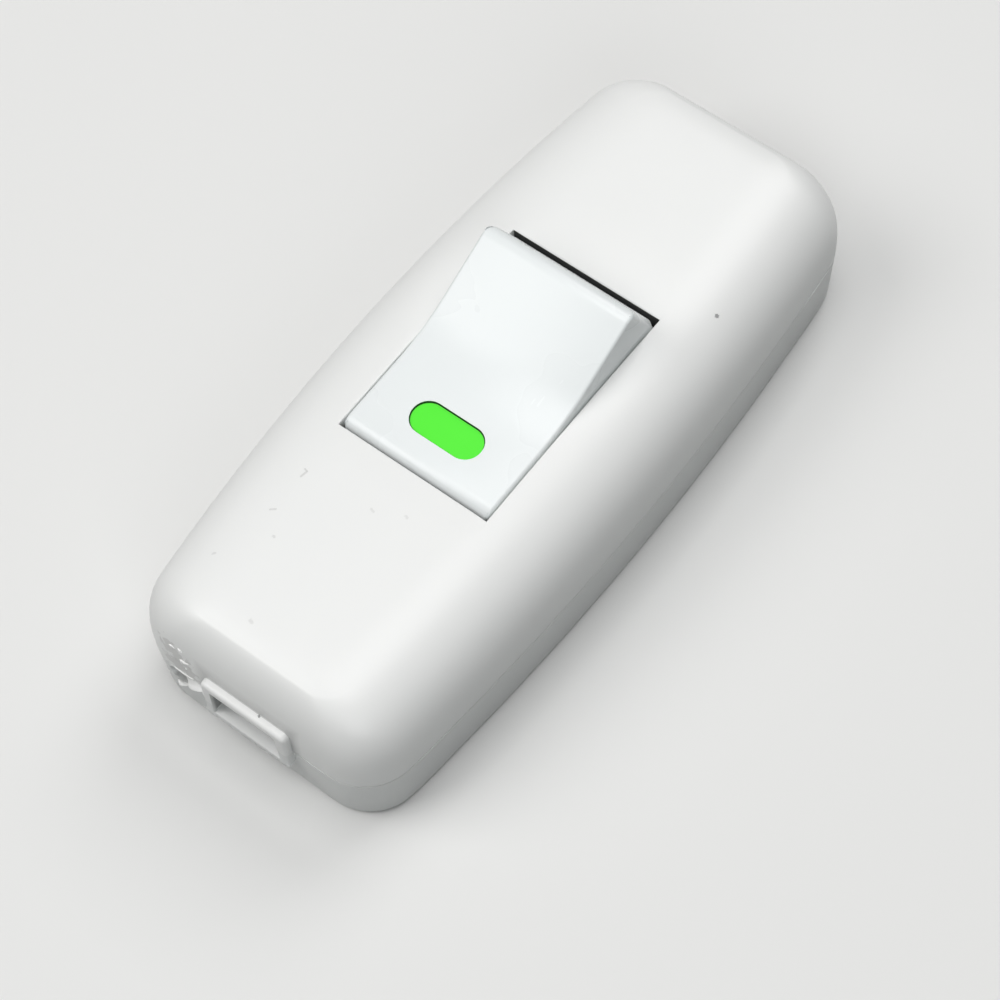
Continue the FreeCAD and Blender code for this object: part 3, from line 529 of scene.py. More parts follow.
def blemish_group() -> NodeTree:
    """A small ragged mark at one place on the surface.

    Returns:
        A group that puts out Mask, 1 in the mark and 0 outside it.
    """
    # The least square of a run keeps a mark without one from a division by nothing
    least_square, wander, sharpness = 1e-12, 4.0, 3.0
    tree, canvas, given, out = new_group("blemish", {"Start": NOWHERE, "Run": NOWHERE, "Radius": 0.001,
                                                     "Raggedness": 0.6, "Detail Scale": 1500.0}, ("Mask",))
    place = canvas.add("ShaderNodeTexCoord").outputs["Object"]
    run = given.outputs["Run"]
    offset = canvas.vector("SUBTRACT", place, given.outputs["Start"])
    square = canvas.math("ADD", canvas.vector("DOT_PRODUCT", run, run, "Value"), least_square)
    along = canvas.math("DIVIDE", canvas.vector("DOT_PRODUCT", offset, run, "Value"), square, True)
    spine = canvas.add("ShaderNodeVectorMath", operation="SCALE")
    tree.links.new(run, spine.inputs[0])
    tree.links.new(along, spine.inputs["Scale"])
    apart = canvas.vector("DISTANCE", offset, spine.outputs["Vector"], "Value")
    share = canvas.math("DIVIDE", apart, given.outputs["Radius"])
    noise = canvas.add("ShaderNodeTexNoise", {"Vector": place, "Scale": given.outputs["Detail Scale"]},
                       {"Detail": 3.0})
    ragged = canvas.math("MULTIPLY", canvas.math("SUBTRACT", noise.outputs["Fac"], 0.5),
                         canvas.math("MULTIPLY", given.outputs["Raggedness"], wander))
    edge = canvas.math("SUBTRACT", 1.0, canvas.math("ADD", share, ragged))
    tree.links.new(canvas.math("MULTIPLY", edge, sharpness, True), out.inputs["Mask"])
    return tree


def painted_shade_group() -> NodeTree:
    """A box with soft sides, inside which shade is painted on as a dark colour.

    Returns:
        A group that puts out Mask, 1 inside the box and 0 outside it.
    """
    tree, canvas, given, out = new_group("painted_shade", {"Low": NOWHERE, "High": NOWHERE,
                                                     "Sharpness": (20000.0, 20000.0, 20000.0)}, ("Mask",))
    place = canvas.add("ShaderNodeTexCoord").outputs["Object"]
    depth = canvas.vector("MINIMUM", canvas.vector("SUBTRACT", place, given.outputs["Low"]),
                          canvas.vector("SUBTRACT", given.outputs["High"], place))
    share = canvas.vector("MULTIPLY", depth, given.outputs["Sharpness"])
    axes = canvas.add("ShaderNodeSeparateXYZ", {"Vector": share}).outputs
    least = canvas.math("MINIMUM", canvas.math("MINIMUM", axes["X"], axes["Y"]), axes["Z"])
    tree.links.new(canvas.math("MINIMUM", least, 1.0, True), out.inputs["Mask"])
    return tree


def window_gap_shade_group() -> NodeTree:
    """Painted shade in the narrow gap around the green window, where both its walls lie in the dark.

    Returns:
        A group that puts out Mask, 1 on the gap's walls and on the lens's very edge.
    """
    # Where the painted shade begins and ends beside the opening's wall, and how far below the lens it starts
    inner_edge, outer_edge, top_edge = -0.115, 0.04, -0.03
    soft, sharp = 40.0, 80.0
    tree, canvas, given, out = new_group("window gap", {"Half Width": 1.9, "Straight Half": 2.25}, ("Mask",))
    place = canvas.add("ShaderNodeTexCoord").outputs["Object"]
    offset = canvas.vector("MULTIPLY", canvas.vector("SUBTRACT", place, Vector(WINDOW_CENTRE) * MM),
                           (1 / MM, 1 / MM, 1 / MM))
    lean = math.radians(WINDOW_LEAN)
    across = canvas.vector("DOT_PRODUCT", offset, (math.cos(lean), 0.0, math.sin(lean)), "Value")
    above = canvas.vector("DOT_PRODUCT", offset, (-math.sin(lean), 0.0, math.cos(lean)), "Value")
    side = canvas.math("ABSOLUTE", canvas.add("ShaderNodeSeparateXYZ", {"Vector": offset}).outputs["Y"])
    past = canvas.math("MAXIMUM", canvas.math("SUBTRACT", side, given.outputs["Straight Half"]), 0.0)
    reach = canvas.math("SQRT", canvas.math("ADD", canvas.math("MULTIPLY", across, across),
                                            canvas.math("MULTIPLY", past, past)))
    outside = canvas.math("SUBTRACT", reach, given.outputs["Half Width"])
    inner = canvas.math("MULTIPLY", canvas.math("SUBTRACT", outside, inner_edge), soft, True)
    outer = canvas.math("MULTIPLY", canvas.math("SUBTRACT", outer_edge, outside), sharp, True)
    deep = canvas.math("MULTIPLY", canvas.math("SUBTRACT", top_edge, above), soft, True)
    tree.links.new(canvas.math("MULTIPLY", canvas.math("MULTIPLY", inner, outer), deep), out.inputs["Mask"])
    return tree


@dataclass(frozen=True)
class Blemish:
    """A mark or a short stroke on a surface: its start, its radius and its run, in millimetres."""

    start: Triple
    radius: float
    colour: Triple
    strength: float = 1.0
    raggedness: float = 0.35
    run: Triple = (0.0, 0.0, 0.0)
    detail: float = 1.6

    def values(self) -> dict[str, object]:
        """The input values of the blemish group for this mark."""
        return {"Start": Vector(self.start) * MM, "Run": Vector(self.run) * MM, "Radius": self.radius * MM,
                "Raggedness": self.raggedness, "Detail Scale": self.detail / (self.radius * MM)}


@dataclass(frozen=True)
class PaintedShade:
    """A box, in millimetres, in which shade is painted on a surface that lies too deep between two pieces to
    catch light.
    """

    low: Triple
    high: Triple
    strength: float = 0.98
    softness: Triple = (0.05, 0.05, 0.05)

    def values(self) -> dict[str, object]:
        """The input values of the painted shade group for this box."""
        return {"Low": Vector(self.low) * MM, "High": Vector(self.high) * MM,
                "Sharpness": [1 / (reach * MM) for reach in self.softness]}


@dataclass(frozen=True)
class MouldedPlastic:
    """A satin moulded plastic with faint mottle, fine grain, its own marks, painted shade and at times a
    painted glow.
    """

    name: str
    colour: Triple
    deeper: Triple
    roughness: float = 0.36
    spread: float = 0.10
    grain: float = 0.04
    grain_scale: float = 2600.0
    mottle_scale: float = 60.0
    # Emission that paints a glow on a part that is no lamp
    painted_glow: float = 0.0
    marks: tuple[Blemish, ...] = ()
    # Boxes in which shade is painted on the surface as a dark colour
    painted_shades: tuple[PaintedShade, ...] = ()
    # How strongly shade is painted in the gap around the window
    window_gap_shade: float = 0.0

    def toned(self, canvas: Canvas, shared: dict[str, NodeTree], mottle: Socket) -> Socket:
        """The plastic's colour with its mottle, its marks and its painted shade.

        Args:
            canvas: The canvas of the material's tree.
            shared: The node groups by name.
            mottle: The skin's mottle.

        Returns:
            The colour's socket.
        """
        layers = [("blemish", mark.values(), mark.strength, mark.colour) for mark in self.marks]
        # Shade is painted on in dark colours, in boxes and in the gap around the window
        layers += [("painted_shade", box.values(), box.strength, IN_THE_DARK) for box in self.painted_shades]
        if self.window_gap_shade:
            layers.append(("window_gap_shade", {}, self.window_gap_shade, GREEN_SHADE))
        colour = canvas.mix(mottle, self.deeper, self.colour)
        for group, values, strength, tint in layers:
            mask = canvas.add("ShaderNodeGroup", node_tree=shared[group], values=values).outputs["Mask"]
            colour = canvas.mix(canvas.math("MULTIPLY", mask, strength), colour, tint)
        return colour

    def build(self, shared: dict[str, NodeTree]) -> Material:
        """Makes the material.

        Args:
            shared: The node groups by name.

        Returns:
            The new material.
        """
        material = bpy.data.materials.new(self.name)
        material.use_nodes = True
        canvas = Canvas(material.node_tree)
        shader = material.node_tree.nodes["Principled BSDF"]
        skin = canvas.add("ShaderNodeGroup", node_tree=shared["skin"],
                          values={"Grain Scale": self.grain_scale, "Mottle Scale": self.mottle_scale})
        colour = self.toned(canvas, shared, skin.outputs["Mottle"])
        rough = canvas.math("ADD", canvas.math("MULTIPLY", skin.outputs["Gloss"], self.spread),
                            self.roughness - self.spread / 2)
        bump = canvas.add("ShaderNodeBump", {"Height": skin.outputs["Height"]},
                          {"Strength": self.grain, "Distance": GRAIN_DEPTH})
        tree = material.node_tree
        tree.links.new(colour, shader.inputs["Base Color"])
        tree.links.new(rough, shader.inputs["Roughness"])
        tree.links.new(bump.outputs["Normal"], shader.inputs["Normal"])
        # A painted glow: the part is no lamp
        if self.painted_glow:
            shader.inputs["Emission Color"].default_value = (*self.colour, 1.0)
            shader.inputs["Emission Strength"].default_value = self.painted_glow
        return material


@dataclass(frozen=True)
class WorkedMetal:
    """A metal with drawn or stamped lines and a little tarnish."""

    name: str
    kind: MetalKind
    tarnish: Triple = (0.30, 0.22, 0.15)
    stain_level: float = 0.56
    stain_contrast: float = 2.2
    line_share: float = 0.4

    def build(self) -> Material:
        """Makes the material.

        Returns:
            The new material.
        """
        colour, roughness, brushed = self.kind.value
        material = bpy.data.materials.new(self.name)
        material.use_nodes = True
        canvas = Canvas(material.node_tree)
        shader = material.node_tree.nodes["Principled BSDF"]
        place = canvas.add("ShaderNodeTexCoord").outputs["Object"]
        drawn = canvas.add("ShaderNodeMapping", {"Vector": place}, {"Scale": (120.0, 2600.0, 2600.0)})
        lines = canvas.add("ShaderNodeTexNoise", {"Vector": drawn.outputs[0]},
                           {"Scale": 1.0, "Detail": 3.0})
        clouds = canvas.add("ShaderNodeTexNoise", {"Vector": place}, {"Scale": 380.0, "Detail": 4.0})
        above_level = canvas.math("SUBTRACT", clouds.outputs["Fac"], self.stain_level)
        stain = canvas.math("MULTIPLY", above_level, self.stain_contrast, True)
        tree = material.node_tree
        tree.links.new(canvas.mix(stain, colour, self.tarnish), shader.inputs["Base Color"])
        spread = canvas.math("MULTIPLY", lines.outputs["Fac"], brushed * self.line_share)
        tree.links.new(canvas.math("ADD", spread, roughness), shader.inputs["Roughness"])
        bump = canvas.add("ShaderNodeBump", {"Height": lines.outputs["Fac"]},
                          {"Strength": brushed * self.line_share, "Distance": GRAIN_DEPTH})
        tree.links.new(bump.outputs["Normal"], shader.inputs["Normal"])
        shader.inputs["Metallic"].default_value = 1.0
        return material


NOWHERE = (0.0, 0.0, 0.0)
WARM_WHITE = (0.865, 0.868, 0.858)
WARM_WHITE_DEEP = (0.835, 0.842, 0.830)
COOL_WHITE = (0.860, 0.893, 0.893)
COOL_WHITE_DEEP = (0.835, 0.868, 0.868)
# A grey painted on as shade
SHADE_GREY = (0.52, 0.51, 0.50)
TORN_WHITE = (0.96, 0.96, 0.95)
SPECK = (0.16, 0.16, 0.16)
FAINT = (0.62, 0.62, 0.61)
# Dark colours that paint shade on, in recesses and in the gap around the window
IN_THE_DARK = (0.012, 0.012, 0.012)
GREEN_SHADE = (0.010, 0.060, 0.008)

COVER_MARKS = (
    Blemish((18.12, -12.88, 17.40), 0.26, SPECK, 0.75),
    Blemish((-19.70, 8.20, 18.46), 0.13, FAINT, 0.75, 0.3, (-0.75, 0.15, -0.02)),
    Blemish((-19.70, 8.20, 18.46), 0.10, FAINT, 0.75, 0.3, (0.10, 0.35, 0.00)),
    Blemish((-24.55, 8.10, 18.26), 0.12, FAINT, 0.65, 0.3, (-0.35, 0.45, -0.02)),
    Blemish((-26.95, 6.34, 18.18), 0.16, FAINT, 0.55, 0.5, (0.05, 0.10, 0.00)),
    Blemish((-31.37, 10.06, 17.52), 0.15, FAINT, 0.55, 0.5, (-0.20, 0.20, 0.00)),
    Blemish((-19.24, 0.65, 18.50), 0.14, FAINT, 0.40, 0.5, (-0.15, -0.40, 0.00)),
    Blemish((-18.02, -2.71, 18.54), 0.16, FAINT, 0.40, 0.5, (0.10, 0.20, 0.00)),
    Blemish((-34.89, 2.74, 17.73), 0.18, FAINT, 0.45, 0.6, (-0.10, -0.30, 0.00)),
    Blemish((-40.10, -1.70, 11.05), 0.17, SPECK, 0.80),
    # Grey painted on as shade on the end wall around the torn corner at the inlet end
    Blemish((-39.80, 9.60, 11.90), 1.10, SHADE_GREY, 0.50, 0.9, (-0.10, -1.60, -1.40)),
    Blemish((-39.90, 9.20, 9.20), 1.20, SHADE_GREY, 0.55, 0.9, (0.00, -1.70, -0.40)),
)
# Shade painted on the inner walls of the cord inlets
INLET_SHADES = (
    PaintedShade((-40.70, -4.50, 5.85), (-36.00, 4.50, 10.40), 0.62, (0.30, 0.30, 0.30)),
    PaintedShade((36.00, -4.50, 5.85), (40.70, 4.50, 10.40), 0.62, (0.30, 0.30, 0.30)),
)
# Shade painted on the end walls of the rocker's opening, on the end walls around the inlet frames, and in
# the inlets
COVER_PAINTED_SHADES = (
    PaintedShade((13.70, -9.00, 15.00), (14.00, 9.00, 18.54)),
    PaintedShade((-14.00, -9.00, 15.00), (-13.70, 9.00, 18.54)),
    PaintedShade((-40.04, -6.60, 2.00), (-38.60, 6.60, 12.90), 0.28, (0.04, 1.30, 1.60)),
    PaintedShade((38.60, -6.60, 2.00), (40.04, 6.60, 12.90), 0.28, (0.04, 1.30, 1.60)),
    *INLET_SHADES,
)
# Shade painted in the chip below the seam at the inlet end, and in the inlets
BASE_PAINTED_SHADES = (
    PaintedShade((-39.93, 7.30, 4.20), (-38.00, 10.25, 7.60), 0.50, (0.22, 0.30, 0.30)),
    *INLET_SHADES,
)
# Where the middle of the window's opening lies, and how it leans about Y, in degrees
WINDOW_CENTRE = (-8.395, 0.0, 18.945)
WINDOW_LEAN = 1.5


# Casing form


@dataclass(frozen=True)
class CasingForm:
    """The casing's outline and dome in millimetres."""

    length: float = 80.0
    width: float = 34.45
    end_width: float = 29.66
    height: float = 18.85
    corner: float = 5.86
    least_corner: float = 2.6
    corner_share: float = 0.3
    seam: float = 7.5
    crown_drop: float = 1.47
    shoulder_height: float = 8.35
    shoulder_side: float = 9.6
    shoulder_end: float = 4.35
    shoulder_power: float = 2.37
    halvings: int = 24

    def turn_in(self, share: float) -> Point:
        """How far the shoulder has turned in and dropped at a share of its quarter turn.

        Args:
            share: The share of the quarter turn, from 0 at the wall to 1 at the top.

        Returns:
            The shares of the whole turn inwards and of the whole drop.
        """
        angle, power = share * math.pi / 2, 2 / self.shoulder_power
        inward = 1 - math.cos(angle) ** power if share < 1 else 1.0
        return inward, 1 - math.sin(angle) ** power

    def corner_of(self, side_inset: float, end_inset: float) -> tuple[float, float, float, float]:
        """Radius, lean and centre of the plan's corner for an outline that is drawn in.

        Args:
            side_inset: How far the long sides are drawn in.
            end_inset: How far the ends are drawn in.

        Returns:
            The radius, the angle at which the barrel side meets it, and its centre's x and y.
        """
        barrel = (self.width - self.end_width) / 2
        radius = max(self.corner - self.corner_share * (side_inset + end_inset), self.least_corner)
        centre_x = self.length / 2 - end_inset - radius
        lean = math.atan(8 * barrel * centre_x / self.length**2)
        join_x = centre_x + radius * math.sin(lean)
        centre_y = self.half_width(join_x) - side_inset - radius * math.cos(lean)
        return radius, lean, centre_x, centre_y

    def half_width(self, x: float) -> float:
        """Half the casing's width at a place along it."""
        return self.width / 2 - (self.width - self.end_width) / 2 * (2 * x / self.length) ** 2

    def quarter(self, side_inset: float, end_inset: float, steps: tuple[int, int, int]) -> list[Point]:
        """A quarter of the outline, from the middle of a side to the middle of an end.

        Args:
            side_inset: How far the long sides are drawn in.
            end_inset: How far the ends are drawn in.
            steps: Points along the side, around the corner and along the end.

        Returns:
            The points from (0, y) to (x, 0).
        """
        radius, lean, centre_x, centre_y = self.corner_of(side_inset, end_inset)
        join_x = centre_x + radius * math.sin(lean)
        side, corner, end = steps
        points = [(join_x * n / side, self.half_width(join_x * n / side) - side_inset) for n in range(side)]
        for n in range(corner + 1):
            angle = lean + (math.pi / 2 - lean) * n / corner
            points.append((centre_x + radius * math.sin(angle), centre_y + radius * math.cos(angle)))
        points += [(self.length / 2 - end_inset, centre_y * (1 - n / end)) for n in range(1, end + 1)]
        return points

    def outside(self, x: float, y: float, wall: float, share: float) -> float:
        """How far a point lies outside the shoulder's ring at a share of its turn.

        Args:
            x: The point's place along the casing.
            y: The point's place across it.
            wall: How far the whole form is drawn in.
            share: The share of the quarter turn.

        Returns:
            A distance that is negative inside the ring.
        """
        x, y = abs(x), abs(y)
        inward = self.turn_in(share)[0]
        side, end = wall + self.shoulder_side * inward, wall + self.shoulder_end * inward
        radius, lean, centre_x, centre_y = self.corner_of(side, end)
        if x > centre_x and y > centre_y and x > centre_x + radius * math.sin(lean):
            return math.hypot(x - centre_x, y - centre_y) - radius
        return max(y - self.half_width(x) + side, x - self.length / 2 + end)

    def level(self, x: float, y: float, wall: float, roof: float) -> float:
        """The dome's height over a point of the plan.

        Args:
            x: The point's place along the casing.
            y: The point's place across it.
            wall: How far the form is drawn in at its sides.
            roof: How far it is drawn in at its top.

        Returns:
            The height in millimetres.
        """
        low, high = 0.0, 1.0
        if self.outside(x, y, wall, 1.0) > 0:
            for _ in range(self.halvings):
                middle = (low + high) / 2
                if self.outside(x, y, wall, middle) > 0:
                    high = middle
                else:
                    low = middle
            drop = self.shoulder_height * self.turn_in(low)[1]
        else:
            drop = 0.0
        return self.height - roof - drop - self.crown_drop * (2 * x / self.length) ** 2


def all_round(quarter: Sequence[Point]) -> list[Point]:
    """Mirrors a quarter of an outline into a whole ring without double points."""
    half = list(quarter) + [(x, -y) for x, y in quarter[-2::-1]]
    return half + [(-x, -y) for x, y in quarter[1:]] + [(-x, y) for x, y in quarter[-2:0:-1]]


@dataclass(frozen=True)
class InletFrame:
    """The frame around a cord inlet, partly on the cover and partly on the base, in millimetres."""

    reach: float = 40.85
    depth: float = 3.9
    half: float = 5.25
    top: float = 11.05
    corner: float = 0.7
    corner_steps: int = 5
    edge: float = 0.42
    edge_steps: int = 4
    sill_half: float = 4.75
    sill_edge: float = 0.14
    sill_steps: int = 2
    inlet_half: float = 4.05
    inlet_low: float = 5.7
    inlet_top: float = 10.1


@dataclass
class UpperCover:
    """The upper casing shell: a dome with the rocker's opening, inlet frames, ears and bosses."""

    form: CasingForm = CasingForm()
    inlet: InletFrame = InletFrame()
    wall: float = 1.8
    roof: float = 2.0
    opening: Point = (13.86, 9.01)
    rim_radius: float = 0.16
    lip_radius: float = 0.14
    edge_rings: int = 3
    steps: tuple[int, int, int] = (14, 10, 6)
    wall_rings: int = 3
    shoulder_rings: int = 22
    last_shares: tuple[float, float] = (0.81, 0.68)
    least_rise: float = 0.02
    blend_rings: int = 9
    bearing: float = 1.30
    ear_low: float = 12.28
    ear_top: float = 17.6
    ear_half: float = 4.0
    ear_thickness: float = 2.0
    ear_setback: float = 0.03
    boss: Point = (25.0, -10.4)
    boss_radius: float = 2.6
    boss_low: float = 7.8
    boss_top: float = 16.5
    pilot_radius: float = 1.35
    pilot_top: float = 13.4
    overshoot: float = 1.0
    smooth_angle: float = 34.0

    def opening_ring(self, grow: float) -> list[Point]:
        """The rocker opening's outline with as many points as the casing's.

        Args:
            grow: How far it is grown.

        Returns:
            The ring's points.
        """
        x, y = self.opening[0] + grow, self.opening[1] + grow
        along, corner, end = self.steps
        across = corner + end
        quarter = [(x * n / along, y) for n in range(along)]
        quarter += [(x, y * (1 - n / across)) for n in range(across + 1)]
        return all_round(quarter)

    def skin(self, wall: float, roof: float, foot: float, last_share: float) -> list[list[Vector]]:
        """Rings of one skin of the dome, from its foot up and in to near the opening.

        Args:
            wall: How far it is drawn in at its sides.
            roof: How far it is drawn in at its top.
            foot: The height at which it starts.
            last_share: The share of the shoulder's turn after which the rings pass to the opening's form.

        Returns:
            The rings in order.
        """
        form = self.form
        top = form.height - roof
        shoulder_low = top - form.shoulder_height
        base = all_round(form.quarter(wall, wall, self.steps))
        rings = [[Vector((x, y, foot + (self.crowned(x, shoulder_low) - foot) * n / self.wall_rings))
                  for x, y in base] for n in range(self.wall_rings)]
        for n in range(self.shoulder_rings + 1):
            inward, drop = form.turn_in(last_share * n / self.shoulder_rings)
            side, end = wall + form.shoulder_side * inward, wall + form.shoulder_end * inward
            rings.append([Vector((x, y, self.crowned(x, top - form.shoulder_height * drop)))
                          for x, y in all_round(form.quarter(side, end, self.steps))])
        for number, ring in enumerate(rings[1:], 1):
            for point in ring:
                point.z = max(point.z, foot + self.least_rise * number)
        outer, inner = [(v.x, v.y) for v in rings[-1]], self.opening_ring(self.rim_radius)
        for n in range(1, self.blend_rings + 1):
            share = n / self.blend_rings
            plan = [(a[0] + (b[0] - a[0]) * share, a[1] + (b[1] - a[1]) * share)
                    for a, b in zip(outer, inner)]
            rings.append([Vector((x, y, form.level(x, y, wall, roof))) for x, y in plan])
        return rings

    def crowned(self, x: float, height: float) -> float:
        """A height that falls away towards the ends as the top does."""
        return height - self.form.crown_drop * (2 * x / self.form.length) ** 2

    def rim(self) -> list[list[Vector]]:
        """The rounded upper edge of the rocker's opening.

        Returns:
            The rings from the top inwards and down.
        """
        rings = []
        for n in range(1, self.edge_rings + 1):
            angle = math.pi / 2 * n / self.edge_rings
            plan = self.opening_ring(self.rim_radius * (1 - math.sin(angle)))
            drop = self.rim_radius * (1 - math.cos(angle))
            rings.append([Vector((x, y, self.form.level(x, y, 0.0, 0.0) - drop)) for x, y in plan])
        return rings

    def lip(self) -> list[list[Vector]]:
        """The edge that meets the base, flat inside and slightly rounded outside.

        Returns:
            The rings from the seam outwards and up.
        """
        form, radius = self.form, self.lip_radius
        rings = []
        for n in range(self.edge_rings):
            angle = math.pi / 2 * n / self.edge_rings
            inset = radius * (1 - math.sin(angle))
            plan = all_round(form.quarter(inset, inset, self.steps))
            rings.append([Vector((x, y, form.seam + radius * (1 - math.cos(angle)))) for x, y in plan])
        return rings

    def shell(self) -> Piece:
        """The dome as one closed shell around the opening.

        Returns:
            The new object.
        """
        form, wall, roof = self.form, self.wall, self.roof
        outer = self.skin(0.0, 0.0, form.seam + self.lip_radius, self.last_shares[0])
        inner = self.skin(wall, roof, form.seam, self.last_shares[1])
        throat = [Vector((x, y, form.level(x, y, wall, roof))) for x, y in self.opening_ring(0.0)]
        return loft("upper_shell", [*self.lip(), *outer, *self.rim(), throat, *reversed(inner)])

    def inlet_frame(self, side: Side) -> Piece:
        """The upper part of the frame around a cord inlet.

        Args:
            side: The end at which it stands.

        Returns:
            The frame with its edges rounded.
        """
        shape, seam = self.inlet, self.form.seam
        near, far = span(side.value, shape.reach - shape.depth, shape.reach)
        piece = block(f"frame_{side.name.lower()}", (near, -shape.half, seam), (far, shape.half, shape.top))
        round_edges(piece, shape.corner * MM, shape.corner_steps,
                    lambda a, b: abs(a.x - b.x) > MM and min(a.z, b.z) > (shape.top - APART) * MM)
        face = side.value * shape.reach * MM
        round_edges(piece, shape.edge * MM, shape.edge_steps,
                    lambda a, b: max(abs(a.x - face), abs(b.x - face)) < CLOSE * MM
                    and max(a.z, b.z) > (seam + APART) * MM)
        return piece

    def added(self) -> list[Piece]:
        """The inlet frames, the bearing ears and the bosses for the casing screws.

        Returns:
            Solids that don't touch each other.
        """
        inner = self.opening[1]
        parts = [self.inlet_frame(side) for side in Side]
        for side in (-1, 1):
            low, high = span(side, inner + self.ear_setback, inner + self.ear_thickness)
            parts.append(block("ear", (-self.ear_half, low, self.ear_low),
                               (self.ear_half, high, self.ear_top)))
            foot = Vector((side * self.boss[0], side * self.boss[1], self.boss_low))
            parts.append(rod("boss", self.boss_radius, foot, UP, self.boss_top - self.boss_low))
        return parts

    def removed(self) -> list[Piece]:
        """The bearing holes, the screws' pilot holes and the ways for the cord.

        Returns:
            Solids that don't touch each other.
        """
        reach = self.opening[1] + self.ear_thickness + self.overshoot
        foot = Vector((0, -reach, PIVOT_HEIGHT))
        parts = [rod("bearing", self.bearing, foot, Vector((0, 1, 0)), 2 * reach)]
        for side in (-1, 1):
            foot = Vector((side * self.boss[0], side * self.boss[1], self.boss_low - self.overshoot))
            parts.append(rod("pilot", self.pilot_radius, foot, UP, self.pilot_top - foot.z))
        shape = self.inlet
        for end in Side:
            back, front = shape.reach - shape.depth - self.overshoot, shape.reach + self.overshoot
            near, far = span(end.value, back, front)
            parts.append(block("inlet", (near, -shape.inlet_half, shape.inlet_low),
                               (far, shape.inlet_half, shape.inlet_top)))
        return parts

    def build(self, material: Material) -> Piece:
        """Models the cover and hands it over.

        Args:
            material: The cover's plastic.

        Returns:
            The finished piece.
        """
        piece = self.shell()
        combine(piece, gather(self.added()), Way.JOIN)
        combine(piece, gather(self.removed()), Way.CUT)
        piece.name = piece.data.name = "cover_shell"
        smooth(piece, self.smooth_angle)
        hand_over(piece, "casing", "cover_plastic", material, "upper_cover")
        return piece


class Section(Enum):
    """Sections of torn strands: points along the wall and away from it, for sizes of one."""

    ROUND = ((1.0, 0.0), (0.7, 0.7), (0.0, 1.0), (-0.7, 0.7),
             (-1.0, 0.0), (-0.7, -0.7), (0.0, -1.0), (0.7, -0.7))
    FLARED = ((1.0, -0.1), (0.62, 0.10), (0.36, 0.28), (0.20, 0.60), (0.10, 0.94),
              (0.0, 1.0), (-0.08, 0.74), (-0.12, 0.30), (-0.15, -0.1))


@dataclass
class TornPlaces:
    """What was torn up at the inlet end, in rows of a centre and of a section's width and thickness."""

    lip: tuple[tuple[float, ...], ...] = (
        (-39.92, 7.95, 6.14, 0.40, 0.12),
        (-39.96, 7.84, 6.20, 1.10, 0.36),
        (-39.97, 7.50, 6.32, 1.26, 0.54),
        (-39.98, 7.05, 6.54, 1.26, 0.60),
        (-39.99, 6.60, 6.88, 1.06, 0.58),
        (-40.00, 6.20, 7.18, 0.78, 0.54),
        (-40.01, 5.90, 7.42, 0.50, 0.44),
        (-40.02, 5.65, 7.58, 0.25, 0.30),
        (-40.02, 5.45, 7.72, 0.08, 0.10),
    )
    streak: tuple[tuple[float, ...], ...] = (
        (-39.95, 9.66, 4.62, 0.05, 0.10),
        (-40.02, 9.42, 4.50, 0.15, 0.20),
        (-40.06, 9.10, 4.58, 0.11, 0.26),
        (-40.06, 8.75, 4.86, 0.13, 0.24),
        (-40.04, 8.35, 5.20, 0.10, 0.20),
        (-40.00, 7.90, 5.72, 0.06, 0.14),
    )
    thread: tuple[tuple[float, ...], ...] = (
        (-40.10, 5.75, 8.15, 0.08, 0.12),
        (-40.35, 5.50, 8.40, 0.14, 0.16),
        (-40.60, 5.22, 8.60, 0.15, 0.16),
        (-40.72, 4.98, 8.45, 0.15, 0.13),
        (-40.75, 4.75, 8.15, 0.12, 0.10),
        (-40.80, 4.60, 7.75, 0.06, 0.05),
    )
    flakes: tuple[tuple[tuple[float, ...], ...], ...] = (
        (
            (-39.76, 9.60, 12.30, 0.03, 0.06),
            (-39.80, 9.35, 12.42, 0.10, 0.12),
            (-39.80, 9.05, 12.36, 0.08, 0.10),
            (-39.80, 8.85, 12.24, 0.03, 0.05),
        ),
        (
            (-39.74, 8.45, 12.70, 0.03, 0.06),
            (-39.80, 8.20, 12.66, 0.08, 0.11),
            (-39.78, 8.00, 12.40, 0.08, 0.10),
            (-39.78, 7.90, 12.15, 0.03, 0.05),
        ),
        (
            (-39.92, 8.40, 10.75, 0.03, 0.06),
            (-40.00, 8.10, 10.88, 0.12, 0.14),
            (-40.00, 7.75, 10.80, 0.09, 0.13),
            (-39.98, 7.45, 10.92, 0.08, 0.10),
            (-39.94, 7.20, 10.98, 0.03, 0.05),
        ),
        (
            (-39.86, 8.00, 9.60, 0.04, 0.06),
            (-39.98, 7.75, 9.50, 0.10, 0.12),
            (-39.94, 7.55, 9.42, 0.04, 0.06),
        ),
        (
            (-39.94, 9.70, 7.72, 0.05, 0.06),
            (-39.99, 9.30, 7.70, 0.08, 0.10),
            (-40.00, 8.70, 7.76, 0.10, 0.12),
            (-40.00, 8.10, 7.72, 0.09, 0.11),
            (-40.00, 7.55, 7.82, 0.10, 0.12),
            (-40.00, 7.10, 7.95, 0.04, 0.06),
        ),
    )
    smooth_angle: float = 60.0

    def torn(self, name: str, rows: Sequence[Sequence[float]], section: Section = Section.ROUND) -> Piece:
        """A strand on the inlet end from rows of a centre and of a section's width and thickness."""
        spine = [(Vector(row[:3]), row[3], row[4]) for row in rows]
        return strand(name, spine, Vector((-1, 0, 0)), section.value)

    def build(self, material: Material) -> list[Piece]:
        """Models the torn lip under the chip and the flakes on the wall above it.

        Args:
            material: The torn plastic.

        Returns:
            The finished pieces.
        """
        lip = gather([self.torn("torn_lip", self.lip, Section.FLARED), self.torn("streak", self.streak),
                      self.torn("thread", self.thread)])
        smooth(lip, self.smooth_angle)
        hand_over(lip, "casing", "base_plastic", material)
        flakes = gather([self.torn("torn_flakes", rows) for rows in self.flakes])
        smooth(flakes, self.smooth_angle)
        hand_over(flakes, "casing", "cover_plastic", material)
        return [lip, flakes]


